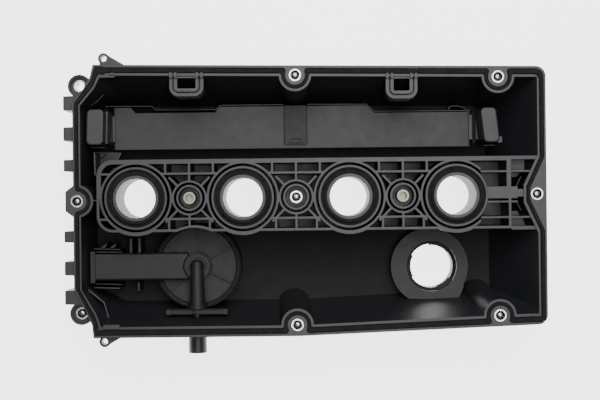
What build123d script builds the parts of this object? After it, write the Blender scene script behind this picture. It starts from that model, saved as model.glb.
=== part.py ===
from build123d import *
import os

# Engine valve cover for a four-cylinder engine, lying on its outer roofs with the engine side up.
# Frame: origin on the centre fixing bolt at the gasket plane, +X along the plug row, +Z to the engine.

os.makedirs("parts", exist_ok=True)

# Flange and gasket plane
flange_left = -179.2
flange_right = 201.2
flange_top = 107.8
flange_top_fall = 4.8
flange_bottom = -111.9
flange_bottom_rise = 7.2
flange_kink_x = 2.0
corner_cut_x = 15.2
corner_cut_top = 30.0
corner_cut_bottom = 40.0
corner_step = 10.5
bottom_corner_flat = 9.0
flange_corner_radius = 8.0
flange_thickness = 7.0
left_inset_share = 0.7
right_inset_share = 0.8
corner_slide_x = 0.3
corner_slide_top = 0.66
corner_slide_bottom = 1.14
corner_lead_top = 1.5
corner_lead_bottom = 1.0
rim_width = 2.1
groove_width = 4.5
lip_width = 2.2
pad_groove_width = 3.0
groove_depth = 4.2
groove_outer_blend = 2.5
groove_inner_blend = 1.5

# Walls and roofs
wall = 3.0
weld = 0.2
run_on = 1.0
same_place = 0.05
upper_roof_z = -74.0
lower_roof_step = 4.0
long_wall_lean = 20.0
bottom_wall_lean = 16.7
right_wall_lean = 29.9
left_wall_lean = 3.0
roof_cut_top = 7.0
roof_cut_bottom = 24.0

# Plug row and its channel
bore_pitch = 86.0
well_bore_radius = 15.9
well_tube_radius = 18.4
well_groove_radius = 23.4
well_ridge_radius = 25.2
well_arc_inner = 27.3
well_arc_outer = 30.4
well_ridge_top_z = 0.0
well_tip_reach = 20.5
well_tip_y = 3.4
well_tip_radius = 3.0
well_collar_height = 4.0
channel_floor_z = -42.0
channel_top_y = 31.2
channel_bottom_y = -27.2
channel_left_x = -160.6
channel_right_x = 173.0
strip_width = 3.7
lower_strip_width = 2.2
channel_corner = 13.0
rib_width = 1.9
rib_top_z = -1.2
rib_upper_y = 19.6
rib_lower_y = -16.8
rib_upper_offset = 19.2
rib_lower_offset = 16.4
boss_ring_inner = 8.8
boss_ring_outer = 10.5
boss_arc_inner = 12.4
boss_arc_outer = 14.2
bar_gap = 5.4
boss_core_z = -20.0
end_bar_width = 9.6
end_bar_y = 1.8
end_bar_reach = 5.2
end_neck_drop = 0.5
end_neck_width = 6.2
end_rib_x = 148.5
end_rib_width = 1.6
end_rib_upper_y = 18.8
end_rib_lower_y = -18.1
end_rib_under_y = -5.6
end_bracket_drop = 1.1

# Fixings
bolt_radius = 3.0
bolt_clearance = 0.75
sleeve_radius = 4.9
bolt_recess = 1.2
bolt_tip_drop = 4.0
bolt_boss_depth = 18.0
bolt_head_radius = 4.9
bolt_head_height = 6.0
bolt_flange_radius = 6.6
bolt_flange_height = 1.8
pad_radius = 8.0
left_pad_reach = 6.2
left_pad_half = 7.9
left_pad_foot_half = 13.2
right_pad_reach = 5.6
right_pad_half = 4.5
right_pad_slope = 2.15
right_pad_depth = 32.0
alcove_roof_radius = 10.5
top_column_lean = -9.5
bottom_column_lean = 12.8
bottom_column_slants = [-3.0, -12.0]
top_bolt_places = [(0.0, 97.9), (163.0, 94.8)]
bottom_bolt_places = [(0.0, -102.9), (163.0, -97.0)]
left_bolt_x = -176.3
left_bolt_y = -1.8
right_bolt_x = 193.5
right_bolt_y = 0.4
boss_rim = 1.4
lug_top_z = -5.0
lug_radius = 9.3
lug_depth = 16.0
lug_upper_turn = 38.0
lug_lower_turn = 32.0
lug_web_length = 22.3
lug_web_width = 14.0
lug_counterbore_radius = 7.2
lug_counterbore_depth = 3.5
lug_x = -174.2
lug_upper_y = 91.2
lug_lower_y = -92.4
ear_top_z = -4.0
ear_depth = 9.0
ear_radius = 4.4
ear_reach = 12.0
ear_drop = 5.5
ear_neck_width = 6.6
ear_fin_start = 1.8
ear_fin_rise = 3.5
ear_fin_length = 17.0
ear_upper_x = -154.3
ear_upper_y = 113.2
ear_lower_x = -155.6
ear_lower_y = -115.2
ear_sleeve_radius = 3.5
ear_sleeve_wall = 1.0
stub_top_z = -4.0
stub_depth = 30.0
stub_reach = 8.0
stub_root = 6.5
stub_slant = 0.5
stub_top_y = 77.4
stub_widths = [11.3, 10.8, 9.2, 8.8, 10.8, 11.1]
stub_steps = [0.0, 24.8, 50.3, 107.8, 133.4, 156.8]
insert_bore_radius = 3.1
insert_top_z = -2.0
insert_dimple_depth = 7.0
insert_thread_radius = 2.5
insert_thread_depth = 14.0

# Pockets on the upper wall: place, width and reach of each, and how far its skirt stands out
pocket_places = [(-87.4, 27.6, 16.2, 0.6), (85.7, 25.7, 17.6, 0.6)]
pocket_top_z = -1.0
pocket_root = 5.0
pocket_rim = 2.7
pocket_gap = 1.1
pocket_slot_depth = 5.0
pocket_corner = 7.5
pocket_skirt_z = -12.0

# Perimeter gasket and plug seals
gasket_clearance = 0.55
gasket_height = 5.4
seal_clearance = 0.45
seal_height = 4.6
seal_foot_height = 1.6
seal_bead_width = 1.7
well_groove_depth = 4.0

# Oil filler
filler_x = 113.3
filler_y = -59.5
filler_boss_x = 111.3
filler_face_z = -48.0
filler_boss_radius = 32.5
filler_mouth_radius = 21.0
filler_bore_radius = 18.6
filler_ledge_z = -57.0
filler_flat_y = -87.0
filler_web = [(0.0, -27.5), (24.4, -27.5), (29.0, -17.2), (25.7, -10.5), (0.0, 0.0)]
filler_neck_wall = 5.0
bayonet_thickness = 3.0
bayonet_ramps = [(-75.0, 40.0, 1.4), (40.0, 55.0, 0.9), (150.0, 60.0, 1.1)]

# Breather and separator
breather_x = -82.3
breather_y = -56.3
chamber_radius = 35.4
chamber_wall = 3.2
disc_clearance = 0.35
disc_z = -37.5
disc_thickness = 2.4
chamber_top_z = -37.5
disc_rib_height = 2.3
hub_radius = 11.3
disc_ledge_width = 2.6
diaphragm_rim_z = -63.0
diaphragm_room_depth = 12.0
diaphragm_room_radius = 25.6
port_radius = 5.4
port_wall = 1.6
port_end_z = -60.2
cap_radius = 31.0
cap_clearance = 0.4
cap_thickness = 2.4
diaphragm_radius = 25.0
diaphragm_thickness = 1.0
diaphragm_drop = 2.4
plate_radius = 13.0
plate_thickness = 1.4
plate_gap = 0.3
spring_radius = 9.0
spring_wire = 1.0
spring_turns = 3.5
cap_round = 1.6
cap_lip_gap = 1.0
disc_rib_width = 1.6
disc_rib_end = 1.5
disc_rib_angles = [90.0, 30.0, -27.0, -90.0, 222.0, 148.0]
duct_lift = 0.3
hub_gap = 0.95
duct_width = 22.4
duct_height = 10.0
duct_round = 2.0
duct_wall = 1.8
duct_drop = 8.0
duct_hug = 7.8
duct_start_x = -166.4
duct_flange_thickness = 3.8
duct_flange_rim = 1.8
tube_overrun = 3.5
tube_start_radius = 4.9
tube_end_radius = 6.6
tube_end_y = -88.0
tube_wall = 1.5
collar_rim = 2.0
collar_thickness = 2.9
bracket_width = 46.0
bracket_height = 11.6
bracket_thickness = 4.3
bracket_gap = 0.3
bracket_post_width = 4.2
post_overhang = 0.8
tube_z = -25.0
nipple_radius = 7.4
nipple_bore = 4.9
nipple_length = 23.5
nipple_root = 7.0
nipple_pad_radius = 9.2
nipple_pad_reach = 0.5

# Oil baffle
baffle_z = -46.0
baffle_thickness = 2.2
baffle_left = -152.4
baffle_right = 146.0
baffle_bottom_y = 41.0
baffle_top_y = 76.4
post_x = [-163.0, -125.0, -60.0, 40.0, 100.0, 158.0]
post_width = 2.4
post_inset = 5.0
baffle_notches = [(-139.0, -63.0, 4.6), (60.5, 150.0, 6.3)]
clip_wall = 2.2
clip_overlap = 4.5
tongue_overlap = 1.0
clip_notch_depth = 2.9
end_clip_height = 36.0
end_clip_corner = 4.0
end_clip_round = 1.4
left_clip_start = -169.9
left_clip_width = 14.2
left_clip_bottom_y = 43.7
left_clip_top_y = 73.1
left_clip_skew = 0.9
middle_clip_width = 18.0
middle_clip_start_y = 44.4
hook_slot_inset = 3.2
hook_slot_length = 8.0
hook_slot_width = 2.4
right_clip_start = 150.0
right_clip_width = 13.2
right_clip_bottom_y = 42.6
right_clip_top_y = 71.3
right_clip_skew = -3.3
clip_clearance = 0.3

height = -upper_roof_z
well_x = [bore_pitch * (i - 1.5) for i in range(4)]
boss_x = [-bore_pitch, 0.0, bore_pitch]
lip_inset = rim_width + groove_width + lip_width


def flange_points(inset):
    """Corners of the flange outline, moved in by inset."""
    left = flange_left + inset * left_inset_share
    right = flange_right - inset * right_inset_share
    top = flange_top - inset
    bottom = flange_bottom + inset
    diagonal_x = left + corner_cut_x - corner_lead_bottom - inset * corner_slide_x
    return [
        (left + corner_cut_x + corner_lead_top, top),
        (right, top - flange_top_fall),
        (right, bottom + flange_bottom_rise),
        (right - bottom_corner_flat, bottom + flange_bottom_rise),
        (flange_kink_x, bottom),
        (left + corner_cut_x, bottom),
        (diagonal_x, bottom + corner_step),
        (left, bottom + corner_cut_bottom - inset * corner_slide_bottom),
        (left, top - corner_cut_top + inset * corner_slide_top),
        (diagonal_x, top - corner_step),
    ]


def top_edge_y(x):
    """Height of the flange's gently falling upper edge at x."""
    return flange_top - flange_top_fall * (x - flange_left) / (flange_right - flange_left)


def roof_points(outward):
    """Corners of the roof outline inside the walls, moved out by outward."""
    shift = lip_inset - outward
    top = flange_top - long_wall_lean - shift
    bottom = flange_bottom + bottom_wall_lean + shift
    left = flange_left + left_wall_lean + shift * left_inset_share
    right = flange_right - right_wall_lean - shift
    return [
        (left + roof_cut_top, top),
        (right, top - flange_top_fall / 2),
        (right, bottom + flange_bottom_rise),
        (right - bottom_corner_flat, bottom + flange_bottom_rise),
        (flange_kink_x, bottom),
        (left + roof_cut_bottom, bottom),
        (left + roof_cut_bottom / 2, bottom + roof_cut_bottom / 4),
        (left, bottom + roof_cut_bottom / 2),
        (left, top - roof_cut_top),
        (left + roof_cut_top / 2, top - roof_cut_top / 2),
    ]


left_site = (left_bolt_x, left_bolt_y)
right_site = (right_bolt_x, right_bolt_y)
round_sites = top_bolt_places + bottom_bolt_places + [left_site]
ear_sites = [(ear_upper_x, ear_upper_y, 1.0), (ear_lower_x, ear_lower_y, -1.0)]
stub_places = [(stub_top_y - step, width) for step, width in zip(stub_steps, stub_widths)]
lug_sites = [(lug_x, lug_upper_y), (lug_x, lug_lower_y)]
column_radius = pad_radius + pad_groove_width + lip_width
column_roof_radius = alcove_roof_radius + wall
alcove_radius = column_radius - wall
alcove_top_z = -bolt_boss_depth
channel_middle_y = (channel_top_y + channel_bottom_y) / 2
channel_middle_x = (channel_left_x + channel_right_x) / 2
channel_length = channel_right_x - channel_left_x
channel_width = channel_top_y - channel_bottom_y
lower_roof_z = upper_roof_z + lower_roof_step
well_sites = [(x, 0.0) for x in well_x]
breather_site = (breather_x, breather_y)


def column(slant, lean, x, y, top_radius, roof_radius, top_z):
    """Column round an edge bolt, from top_z to the roofs, leaning by slant along X and lean along Y."""
    with BuildPart() as tower:
        with BuildSketch(Plane.XY.offset(top_z)) as upper_end:
            with Locations((x, y)):
                Circle(top_radius)
        with BuildSketch(Plane.XY.offset(upper_roof_z)) as lower_end:
            with Locations((x + slant, y + lean)):
                Circle(roof_radius)
        loft(ruled=True)
    return tower.part


def end_clip_points(start_x, width, bottom_y, top_y, skew):
    """Corners of an end clip, whose upper end starts at start_x and whose lower end is set back by skew."""
    return [
        (start_x - skew, bottom_y),
        (start_x - skew + width, bottom_y),
        (start_x + width, top_y),
        (start_x, top_y),
    ]


def right_pad_points(grow):
    """Corners of the pointed pad round the right end bolt, grown by grow."""
    edge_x = right_bolt_x - right_pad_reach - grow
    half = right_pad_half + grow / 2
    rise = half + right_pad_slope * (flange_right - edge_x)
    return [
        (flange_right, right_bolt_y + rise),
        (edge_x, right_bolt_y + half),
        (edge_x, right_bolt_y - half),
        (flange_right, right_bolt_y - rise),
    ]


def inner_face(inset, grow, blend):
    """Face inside the flange outline moved in by inset, less the bolt pads grown by grow."""
    with BuildSketch() as face:
        Polygon(*flange_points(inset), align=None)
        with Locations(round_sites):
            Circle(pad_radius + grow, mode=Mode.SUBTRACT)
        Polygon(*right_pad_points(grow), align=None, mode=Mode.SUBTRACT)
        joins = []
        for corner in face.vertices():
            for x, y in round_sites:
                away = ((corner.X - x) ** 2 + (corner.Y - y) ** 2) ** 0.5
                if abs(away - pad_radius - grow) < same_place:
                    joins.append(corner)
        fillet(joins, blend)
        fillet(face.vertices().group_by(Axis.X)[-1].sort_by(Axis.Y)[-1], flange_corner_radius - inset / 2)
    return face.sketch


def channel_face(inset, with_wells):
    """Outline of the plug channel moved in by inset."""
    with BuildSketch() as face:
        with Locations((channel_middle_x, channel_middle_y)):
            RectangleRounded(channel_length - 2 * inset, channel_width - 2 * inset, channel_corner - inset)
        with Locations((channel_right_x - channel_width / 2, channel_middle_y)):
            Rectangle(channel_width - 2 * inset, channel_width - 2 * inset)
        if with_wells:
            with Locations(well_sites):
                Circle(well_arc_outer - inset)
        with Locations(breather_site):
            Circle(chamber_radius - chamber_wall + inset, mode=Mode.SUBTRACT)
    return face.sketch


groove_outer = inner_face(rim_width, 0.0, groove_outer_blend)
groove_inner = inner_face(rim_width + groove_width, pad_groove_width, groove_inner_blend)

# Walls and roofs before they are hollowed out
with BuildPart() as outer_body:
    with BuildSketch(Plane.XY) as outer_mouth:
        Polygon(*flange_points(lip_inset - wall), align=None)
    with BuildSketch(Plane.XY.offset(upper_roof_z)) as outer_roof:
        Polygon(*roof_points(wall), align=None)
    loft(ruled=True)

# Space inside the walls, which leaves the channel, the bolt columns and the lower roof standing
with BuildPart() as cavity:
    with BuildSketch(Plane.XY) as cavity_mouth:
        Polygon(*flange_points(lip_inset), align=None)
    with BuildSketch(Plane.XY.offset(upper_roof_z + wall)) as cavity_roof:
        Polygon(*roof_points(0.0), align=None)
    loft(ruled=True)
    for x, y in top_bolt_places:
        top_column = column(0.0, top_column_lean, x, y, column_radius, column_roof_radius, 0.0)
        add(top_column, mode=Mode.SUBTRACT)
    for (x, y), slant in zip(bottom_bolt_places, bottom_column_slants):
        bottom_column = column(slant, bottom_column_lean, x, y, column_radius, column_roof_radius, 0.0)
        add(bottom_column, mode=Mode.SUBTRACT)
    left_column = column(0.0, 0.0, left_bolt_x, left_bolt_y, column_radius, column_radius, 0.0)
    add(left_column, mode=Mode.SUBTRACT)
    with BuildSketch(Plane.XY) as right_pad:
        Polygon(*right_pad_points(pad_groove_width + lip_width), align=None)
    extrude(amount=-right_pad_depth, mode=Mode.SUBTRACT)
    with BuildSketch(Plane.XY.offset(rib_top_z)) as channel_block:
        add(channel_face(0.0, True))
    extrude(amount=upper_roof_z, mode=Mode.SUBTRACT)
    with BuildSketch(Plane.XY.offset(lower_roof_z + wall)) as lower_bank:
        with Locations((channel_middle_x, channel_bottom_y + 2 * wall)):
            Rectangle(channel_length * 2, channel_length, align=(Align.CENTER, Align.MAX))
    extrude(amount=upper_roof_z, mode=Mode.SUBTRACT)


boss_sites = [(x, 0.0) for x in boss_x]
insert_sites = [(-bore_pitch, 0.0), (bore_pitch, 0.0)]
tip_x = well_x[3] + well_tip_reach
end_rib_ys = [end_rib_upper_y, end_rib_under_y, end_rib_lower_y]
rib_floor_z = channel_floor_z - wall / 2
filler_site = (filler_x, filler_y)
filler_boss_site = (filler_boss_x, filler_y)
baffle_width = baffle_top_y - baffle_bottom_y
baffle_middle_y = (baffle_top_y + baffle_bottom_y) / 2
chamber_floor_z = diaphragm_rim_z + diaphragm_room_depth
nipple_root_y = flange_bottom + lip_inset + nipple_root
nipple_pad_y = flange_bottom + lip_inset - nipple_pad_reach
nipple_end_y = nipple_pad_y - nipple_length
cap_seat_radius = cap_radius + cap_clearance


def well_ridge(radius, tip_radius):
    """Round ridge outlines of the four wells, the last with its drawn-out tip."""
    with BuildSketch() as face:
        with Locations(well_sites):
            Circle(radius)
        with BuildSketch(mode=Mode.PRIVATE) as tip:
            with Locations((tip_x, well_tip_y)):
                Circle(tip_radius)
            with Locations(well_sites[3]):
                Circle(radius)
            make_hull()
        add(tip.sketch)
    return face.sketch


def rib_field():
    """Ribs, rings and bars that stiffen the underside of the plug channel."""
    upper_span = channel_top_y - rib_upper_y
    lower_span = rib_lower_y - channel_bottom_y
    with BuildSketch() as face:
        with Locations((channel_left_x, rib_upper_y), (channel_left_x, rib_lower_y)):
            Rectangle(end_rib_x - channel_left_x, rib_width, align=(Align.MIN, Align.CENTER))
        with Locations([(x, channel_top_y) for x in boss_x]):
            Rectangle(rib_width, channel_top_y - boss_ring_outer, align=(Align.CENTER, Align.MAX))
        with Locations([(x, channel_bottom_y) for x in boss_x]):
            Rectangle(rib_width, -channel_bottom_y - boss_ring_outer, align=(Align.CENTER, Align.MIN))
        for x in boss_x:
            with Locations((x - rib_upper_offset, rib_upper_y), (x + rib_upper_offset, rib_upper_y)):
                Rectangle(rib_width, upper_span, align=(Align.CENTER, Align.MIN))
            with Locations((x - rib_lower_offset, rib_lower_y), (x + rib_lower_offset, rib_lower_y)):
                Rectangle(rib_width, lower_span, align=(Align.CENTER, Align.MAX))
            for side in (-1, 1):
                upper_corner = (side * rib_upper_offset, rib_upper_y)
                lower_corner = (side * rib_lower_offset, rib_lower_y)
                for corner in [upper_corner, lower_corner]:
                    length = (corner[0] ** 2 + corner[1] ** 2) ** 0.5
                    turn = Vector(1, 0).get_signed_angle(Vector(*corner))
                    with Locations(Location((x, 0), turn)):
                        Rectangle(length, rib_width, align=(Align.MIN, Align.CENTER))
        for y in (bar_gap / 2, -bar_gap / 2):
            with Locations((boss_x[1], y)):
                Rectangle(bore_pitch * 3, rib_width)
        with Locations(boss_sites):
            Circle(boss_arc_outer)
        with Locations(boss_sites):
            Circle(boss_arc_inner, mode=Mode.SUBTRACT)
        with Locations(boss_sites):
            Circle(boss_ring_outer)
        with Locations(boss_sites):
            Circle(boss_ring_inner, mode=Mode.SUBTRACT)
        with Locations(well_sites):
            Circle(well_arc_inner + rib_width)
        with Locations((end_rib_x, 0.0)):
            Rectangle(channel_length, channel_length, align=(Align.MIN, Align.CENTER), mode=Mode.SUBTRACT)
        with Locations(well_sites):
            Circle(well_arc_inner, mode=Mode.SUBTRACT)
        with Locations((tip_x + run_on, end_bar_y)):
            Rectangle(channel_right_x - tip_x, end_bar_width, align=(Align.MIN, Align.CENTER))
        with Locations([(end_rib_x, y) for y in end_rib_ys]):
            Rectangle(channel_right_x - end_rib_x, end_rib_width, align=(Align.MIN, Align.CENTER))
        add(channel_face(weld, True), mode=Mode.INTERSECT)
    return face.sketch


inner_rim = pocket_rim + pocket_gap
room_rim = inner_rim + pocket_rim
slot_corner = pocket_corner - pocket_rim
room_corner = pocket_corner - room_rim
bracket_end_x = flange_right - lip_inset * right_inset_share + run_on
bracket_length = bracket_end_x - channel_right_x
neck_end_x = right_bolt_x - right_pad_reach - pad_groove_width - lip_width / 2

# Double-walled pockets on the upper wall and brackets at the right end, grown out of the walls
with BuildPart() as wall_features:
    for x, width, reach, skirt in pocket_places:
        pocket_wall_y = top_edge_y(x) - lip_inset
        pocket_middle_y = pocket_wall_y - reach / 2 + pocket_root / 2
        full_reach = reach + pocket_root
        slot_width = width - 2 * pocket_rim
        slot_reach = full_reach - 2 * pocket_rim
        inner_width = width - 2 * inner_rim
        inner_reach = full_reach - 2 * inner_rim
        room_width = width - 2 * room_rim
        room_reach = full_reach - 2 * room_rim
        trim_width = width + 2 * run_on
        with BuildSketch(Plane.XY.offset(pocket_top_z)) as pocket:
            with Locations((x, pocket_middle_y)):
                RectangleRounded(width, full_reach, pocket_corner)
                RectangleRounded(slot_width, slot_reach, slot_corner, mode=Mode.SUBTRACT)
                RectangleRounded(inner_width, inner_reach, pocket_corner - inner_rim)
                RectangleRounded(room_width, room_reach, room_corner, mode=Mode.SUBTRACT)
            with Locations((x, pocket_wall_y)):
                Rectangle(trim_width, 2 * pocket_root, align=(Align.CENTER, Align.MIN), mode=Mode.SUBTRACT)
        extrude(amount=-pocket_slot_depth)
        with BuildSketch(Plane.XY.offset(pocket_top_z - pocket_slot_depth)) as pocket_base:
            with Locations((x, pocket_middle_y)):
                RectangleRounded(width, full_reach, pocket_corner)
                RectangleRounded(room_width, room_reach, room_corner, mode=Mode.SUBTRACT)
            with Locations((x, pocket_wall_y)):
                Rectangle(trim_width, 2 * pocket_root, align=(Align.CENTER, Align.MIN), mode=Mode.SUBTRACT)
        extrude(amount=pocket_skirt_z - pocket_top_z + pocket_slot_depth)
        with BuildSketch(Plane.XY.offset(pocket_skirt_z)) as pocket_skirt:
            with Locations((x, pocket_middle_y - skirt / 2)):
                RectangleRounded(width, full_reach + skirt, pocket_corner)
            with Locations((x, pocket_middle_y)):
                RectangleRounded(room_width, room_reach, room_corner, mode=Mode.SUBTRACT)
            with Locations((x, pocket_wall_y)):
                Rectangle(trim_width, 2 * pocket_root, align=(Align.CENTER, Align.MIN), mode=Mode.SUBTRACT)
        extrude(amount=upper_roof_z + wall - pocket_skirt_z)
    with BuildSketch(Plane.XY.offset(rib_top_z)) as end_brackets:
        with Locations((channel_right_x, channel_top_y)):
            Rectangle(bracket_length, wall, align=(Align.MIN, Align.MAX))
        with Locations((channel_right_x, channel_bottom_y - end_bracket_drop)):
            Rectangle(bracket_length, wall, align=(Align.MIN, Align.MIN))
        with Locations((channel_right_x, end_rib_upper_y), (channel_right_x, end_rib_lower_y)):
            Rectangle(bracket_length, end_rib_width, align=(Align.MIN, Align.CENTER))
        with Locations((channel_right_x, end_rib_under_y)):
            Rectangle(end_bar_reach, end_rib_width, align=(Align.MIN, Align.CENTER))
        with Locations((channel_right_x, end_bar_y)):
            Rectangle(end_bar_reach, end_bar_width, align=(Align.MIN, Align.CENTER))
        with Locations((channel_right_x, end_bar_y - end_neck_drop)):
            Rectangle(neck_end_x - channel_right_x, end_neck_width, align=(Align.MIN, Align.CENTER))
    extrude(amount=channel_floor_z - rib_top_z)
    add(outer_body.part, mode=Mode.INTERSECT)

# The cover itself, one moulding
with BuildPart() as cover_shell:
    add(outer_body.part)
    with BuildSketch(Plane.XY) as flange:
        Polygon(*flange_points(0.0), align=None)
        fillet(flange.vertices().group_by(Axis.X)[-1], flange_corner_radius)
        Polygon(
            (flange_left + run_on, left_bolt_y + left_pad_foot_half),
            (flange_left - left_pad_reach, left_bolt_y + left_pad_half),
            (flange_left - left_pad_reach, left_bolt_y - left_pad_half),
            (flange_left + run_on, left_bolt_y - left_pad_foot_half),
            align=None,
        )
    extrude(amount=-flange_thickness)
    with BuildSketch(Plane.XY) as edge_bosses:
        with Locations(round_sites + [right_site]):
            Circle(pad_radius + boss_rim)
        add(flange.sketch, mode=Mode.INTERSECT)
    extrude(amount=-bolt_boss_depth)
    # Corner lugs and the two small ears stand a little below the gasket plane
    with BuildSketch(Plane.XY.offset(lug_top_z)) as lugs:
        with Locations(lug_sites):
            Circle(lug_radius)
        with Locations(Location(lug_sites[0], -lug_upper_turn), Location(lug_sites[1], lug_lower_turn)):
            Rectangle(lug_web_length, lug_web_width, align=(Align.MIN, Align.CENTER))
    extrude(amount=-lug_depth)
    with BuildSketch(Plane.XY.offset(ear_top_z)) as ears:
        for x, y, side in ear_sites:
            with Locations((x, y)):
                Circle(ear_radius)
            with Locations((x, y)):
                neck_end = Align.MAX if side > 0 else Align.MIN
                Rectangle(ear_neck_width, ear_reach, align=(Align.CENTER, neck_end))
            Polygon(
                (x + ear_fin_start, y + side * ear_fin_rise),
                (x + ear_fin_length, y - side * ear_drop),
                (x + ear_fin_start, y - side * ear_drop),
                align=None,
            )
    extrude(amount=-ear_depth)
    # Stub ribs along the left end wall
    with BuildSketch(Plane.XY.offset(stub_top_z)) as stubs:
        for y, width in stub_places:
            Polygon(
                (flange_left - stub_reach, y + width / 2),
                (flange_left + stub_root, y + width / 2 + stub_slant),
                (flange_left + stub_root, y - width / 2 - stub_slant),
                (flange_left - stub_reach, y - width / 2),
                align=None,
            )
    extrude(amount=-stub_depth)
    # Breather nipple outside the lower wall, on a round pad with a flat face
    with BuildSketch(Plane.XZ.offset(-nipple_root_y)) as nipple_pad:
        with Locations((breather_x, tube_z)):
            Circle(nipple_pad_radius)
    extrude(amount=nipple_root_y - nipple_pad_y)
    with BuildSketch(Plane.XZ.offset(-nipple_pad_y)) as nipple:
        with Locations((breather_x, tube_z)):
            Circle(nipple_radius)
    extrude(amount=nipple_length)
    add(cavity.part, mode=Mode.SUBTRACT)
    add(wall_features.part)
    # Gasket groove, with its lip left standing on the cavity side
    with BuildSketch(Plane.XY) as groove:
        add(groove_outer)
        add(groove_inner, mode=Mode.SUBTRACT)
    extrude(amount=-groove_depth, mode=Mode.SUBTRACT)
    # Plug channel: a trough from outside, a ribbed tray from inside
    with BuildSketch(Plane.XY.offset(channel_floor_z)) as tray:
        add(channel_face(lower_strip_width, True))
        with Locations((channel_middle_x, 0.0)):
            Rectangle(channel_length, channel_length, align=(Align.CENTER, Align.MIN), mode=Mode.SUBTRACT)
        add(channel_face(strip_width, True))
    extrude(amount=height, mode=Mode.SUBTRACT)
    with BuildSketch(Plane.XY.offset(channel_floor_z - wall)) as trough:
        add(channel_face(wall, False))
    extrude(amount=upper_roof_z, mode=Mode.SUBTRACT)
    with BuildSketch(Plane.XY.offset(rib_floor_z)) as ribs:
        add(rib_field())
    extrude(amount=rib_top_z - rib_floor_z)
    with BuildSketch(Plane.XY.offset(rib_floor_z)) as ridges:
        add(well_ridge(well_ridge_radius, well_tip_radius))
    extrude(amount=well_ridge_top_z - rib_floor_z)
    with BuildSketch(Plane.XY.offset(rib_floor_z)) as boss_cores:
        with Locations(boss_sites):
            Circle(boss_ring_inner + weld)
    extrude(amount=boss_core_z - rib_floor_z)
    with BuildSketch(Plane.XY.offset(well_ridge_top_z)) as seal_grooves:
        add(well_ridge(well_groove_radius, well_tip_radius - well_ridge_radius + well_groove_radius))
        with Locations(well_sites):
            Circle(well_tube_radius, mode=Mode.SUBTRACT)
    extrude(amount=-well_groove_depth, mode=Mode.SUBTRACT)
    # Plug wells run right through, with a low collar on the outside
    with BuildSketch(Plane.XY.offset(channel_floor_z - wall)) as collars:
        with Locations(well_sites):
            Circle(well_tube_radius)
    extrude(amount=-well_collar_height)
    with BuildSketch(Plane.XY) as bores:
        with Locations(well_sites):
            Circle(well_bore_radius)
    extrude(amount=upper_roof_z, mode=Mode.SUBTRACT)

    # The lower bank's roof stands a step above the floor that the part lies on
    with BuildSketch(Plane.XY.offset(lower_roof_z)) as roof_step:
        with Locations((channel_middle_x, channel_bottom_y + wall)):
            Rectangle(channel_length * 2, channel_length, align=(Align.CENTER, Align.MAX))
    extrude(amount=upper_roof_z, mode=Mode.SUBTRACT)
    # Alcoves give a socket its way to the edge bolts from outside
    for x, y in top_bolt_places:
        top_alcove = column(0.0, top_column_lean, x, y, alcove_radius, alcove_roof_radius, alcove_top_z)
        add(top_alcove, mode=Mode.SUBTRACT)
    for (x, y), slant in zip(bottom_bolt_places, bottom_column_slants):
        low_alcove = column(slant, bottom_column_lean, x, y, alcove_radius, alcove_roof_radius, alcove_top_z)
        add(low_alcove, mode=Mode.SUBTRACT)
    left_alcove = column(0.0, 0.0, left_bolt_x, left_bolt_y, alcove_radius, alcove_radius, alcove_top_z)
    add(left_alcove, mode=Mode.SUBTRACT)
    right_alcove = column(0.0, 0.0, right_bolt_x, right_bolt_y, pad_radius, pad_radius, alcove_top_z)
    add(right_alcove, mode=Mode.SUBTRACT)
    # Oil filler: a raised boss inside, with its neck standing in a round recess outside
    with BuildSketch(Plane.XY.offset(lower_roof_z + wall / 2)) as filler_boss:
        with Locations(filler_boss_site):
            Circle(filler_boss_radius)
            Polygon(*filler_web, align=None)
        with Locations((filler_boss_x, filler_flat_y)):
            Rectangle(
                3 * filler_boss_radius,
                filler_boss_radius,
                align=(Align.CENTER, Align.MAX),
                mode=Mode.SUBTRACT,
            )
    extrude(amount=filler_face_z - lower_roof_z - wall / 2)
    with BuildSketch(Plane.XY.offset(filler_face_z - wall)) as filler_recess:
        with Locations(filler_boss_site):
            Circle(filler_boss_radius - wall)
        with Locations((filler_boss_x, filler_flat_y + wall)):
            Rectangle(
                3 * filler_boss_radius,
                filler_boss_radius,
                align=(Align.CENTER, Align.MAX),
                mode=Mode.SUBTRACT,
            )
    extrude(amount=upper_roof_z, mode=Mode.SUBTRACT)
    with BuildSketch(Plane.XY.offset(filler_face_z)) as filler_neck:
        with Locations(filler_site):
            Circle(filler_bore_radius + filler_neck_wall)
    extrude(amount=upper_roof_z - filler_face_z)
    with BuildSketch(Plane.XY.offset(filler_face_z)) as filler_mouth:
        with Locations(filler_site):
            Circle(filler_mouth_radius)
    extrude(amount=filler_ledge_z - filler_face_z, mode=Mode.SUBTRACT)
    with BuildSketch(Plane.XY.offset(filler_face_z)) as filler_bore:
        with Locations(filler_site):
            Circle(filler_bore_radius)
    extrude(amount=upper_roof_z, mode=Mode.SUBTRACT)
    # Bayonet ramps round the filler mouth
    for start, sweep_angle, reach in bayonet_ramps:
        with BuildSketch(Plane.XY.offset(filler_ledge_z)) as ramp:
            with BuildLine() as ramp_line:
                inner = filler_bore_radius - reach
                outer = filler_mouth_radius + weld
                inner_arc = CenterArc(filler_site, inner, start, sweep_angle)
                outer_arc = CenterArc(filler_site, outer, start, sweep_angle)
                Line(inner_arc @ 0, outer_arc @ 0)
                Line(inner_arc @ 1, outer_arc @ 1)
            make_face()
        extrude(amount=bayonet_thickness)
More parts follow.
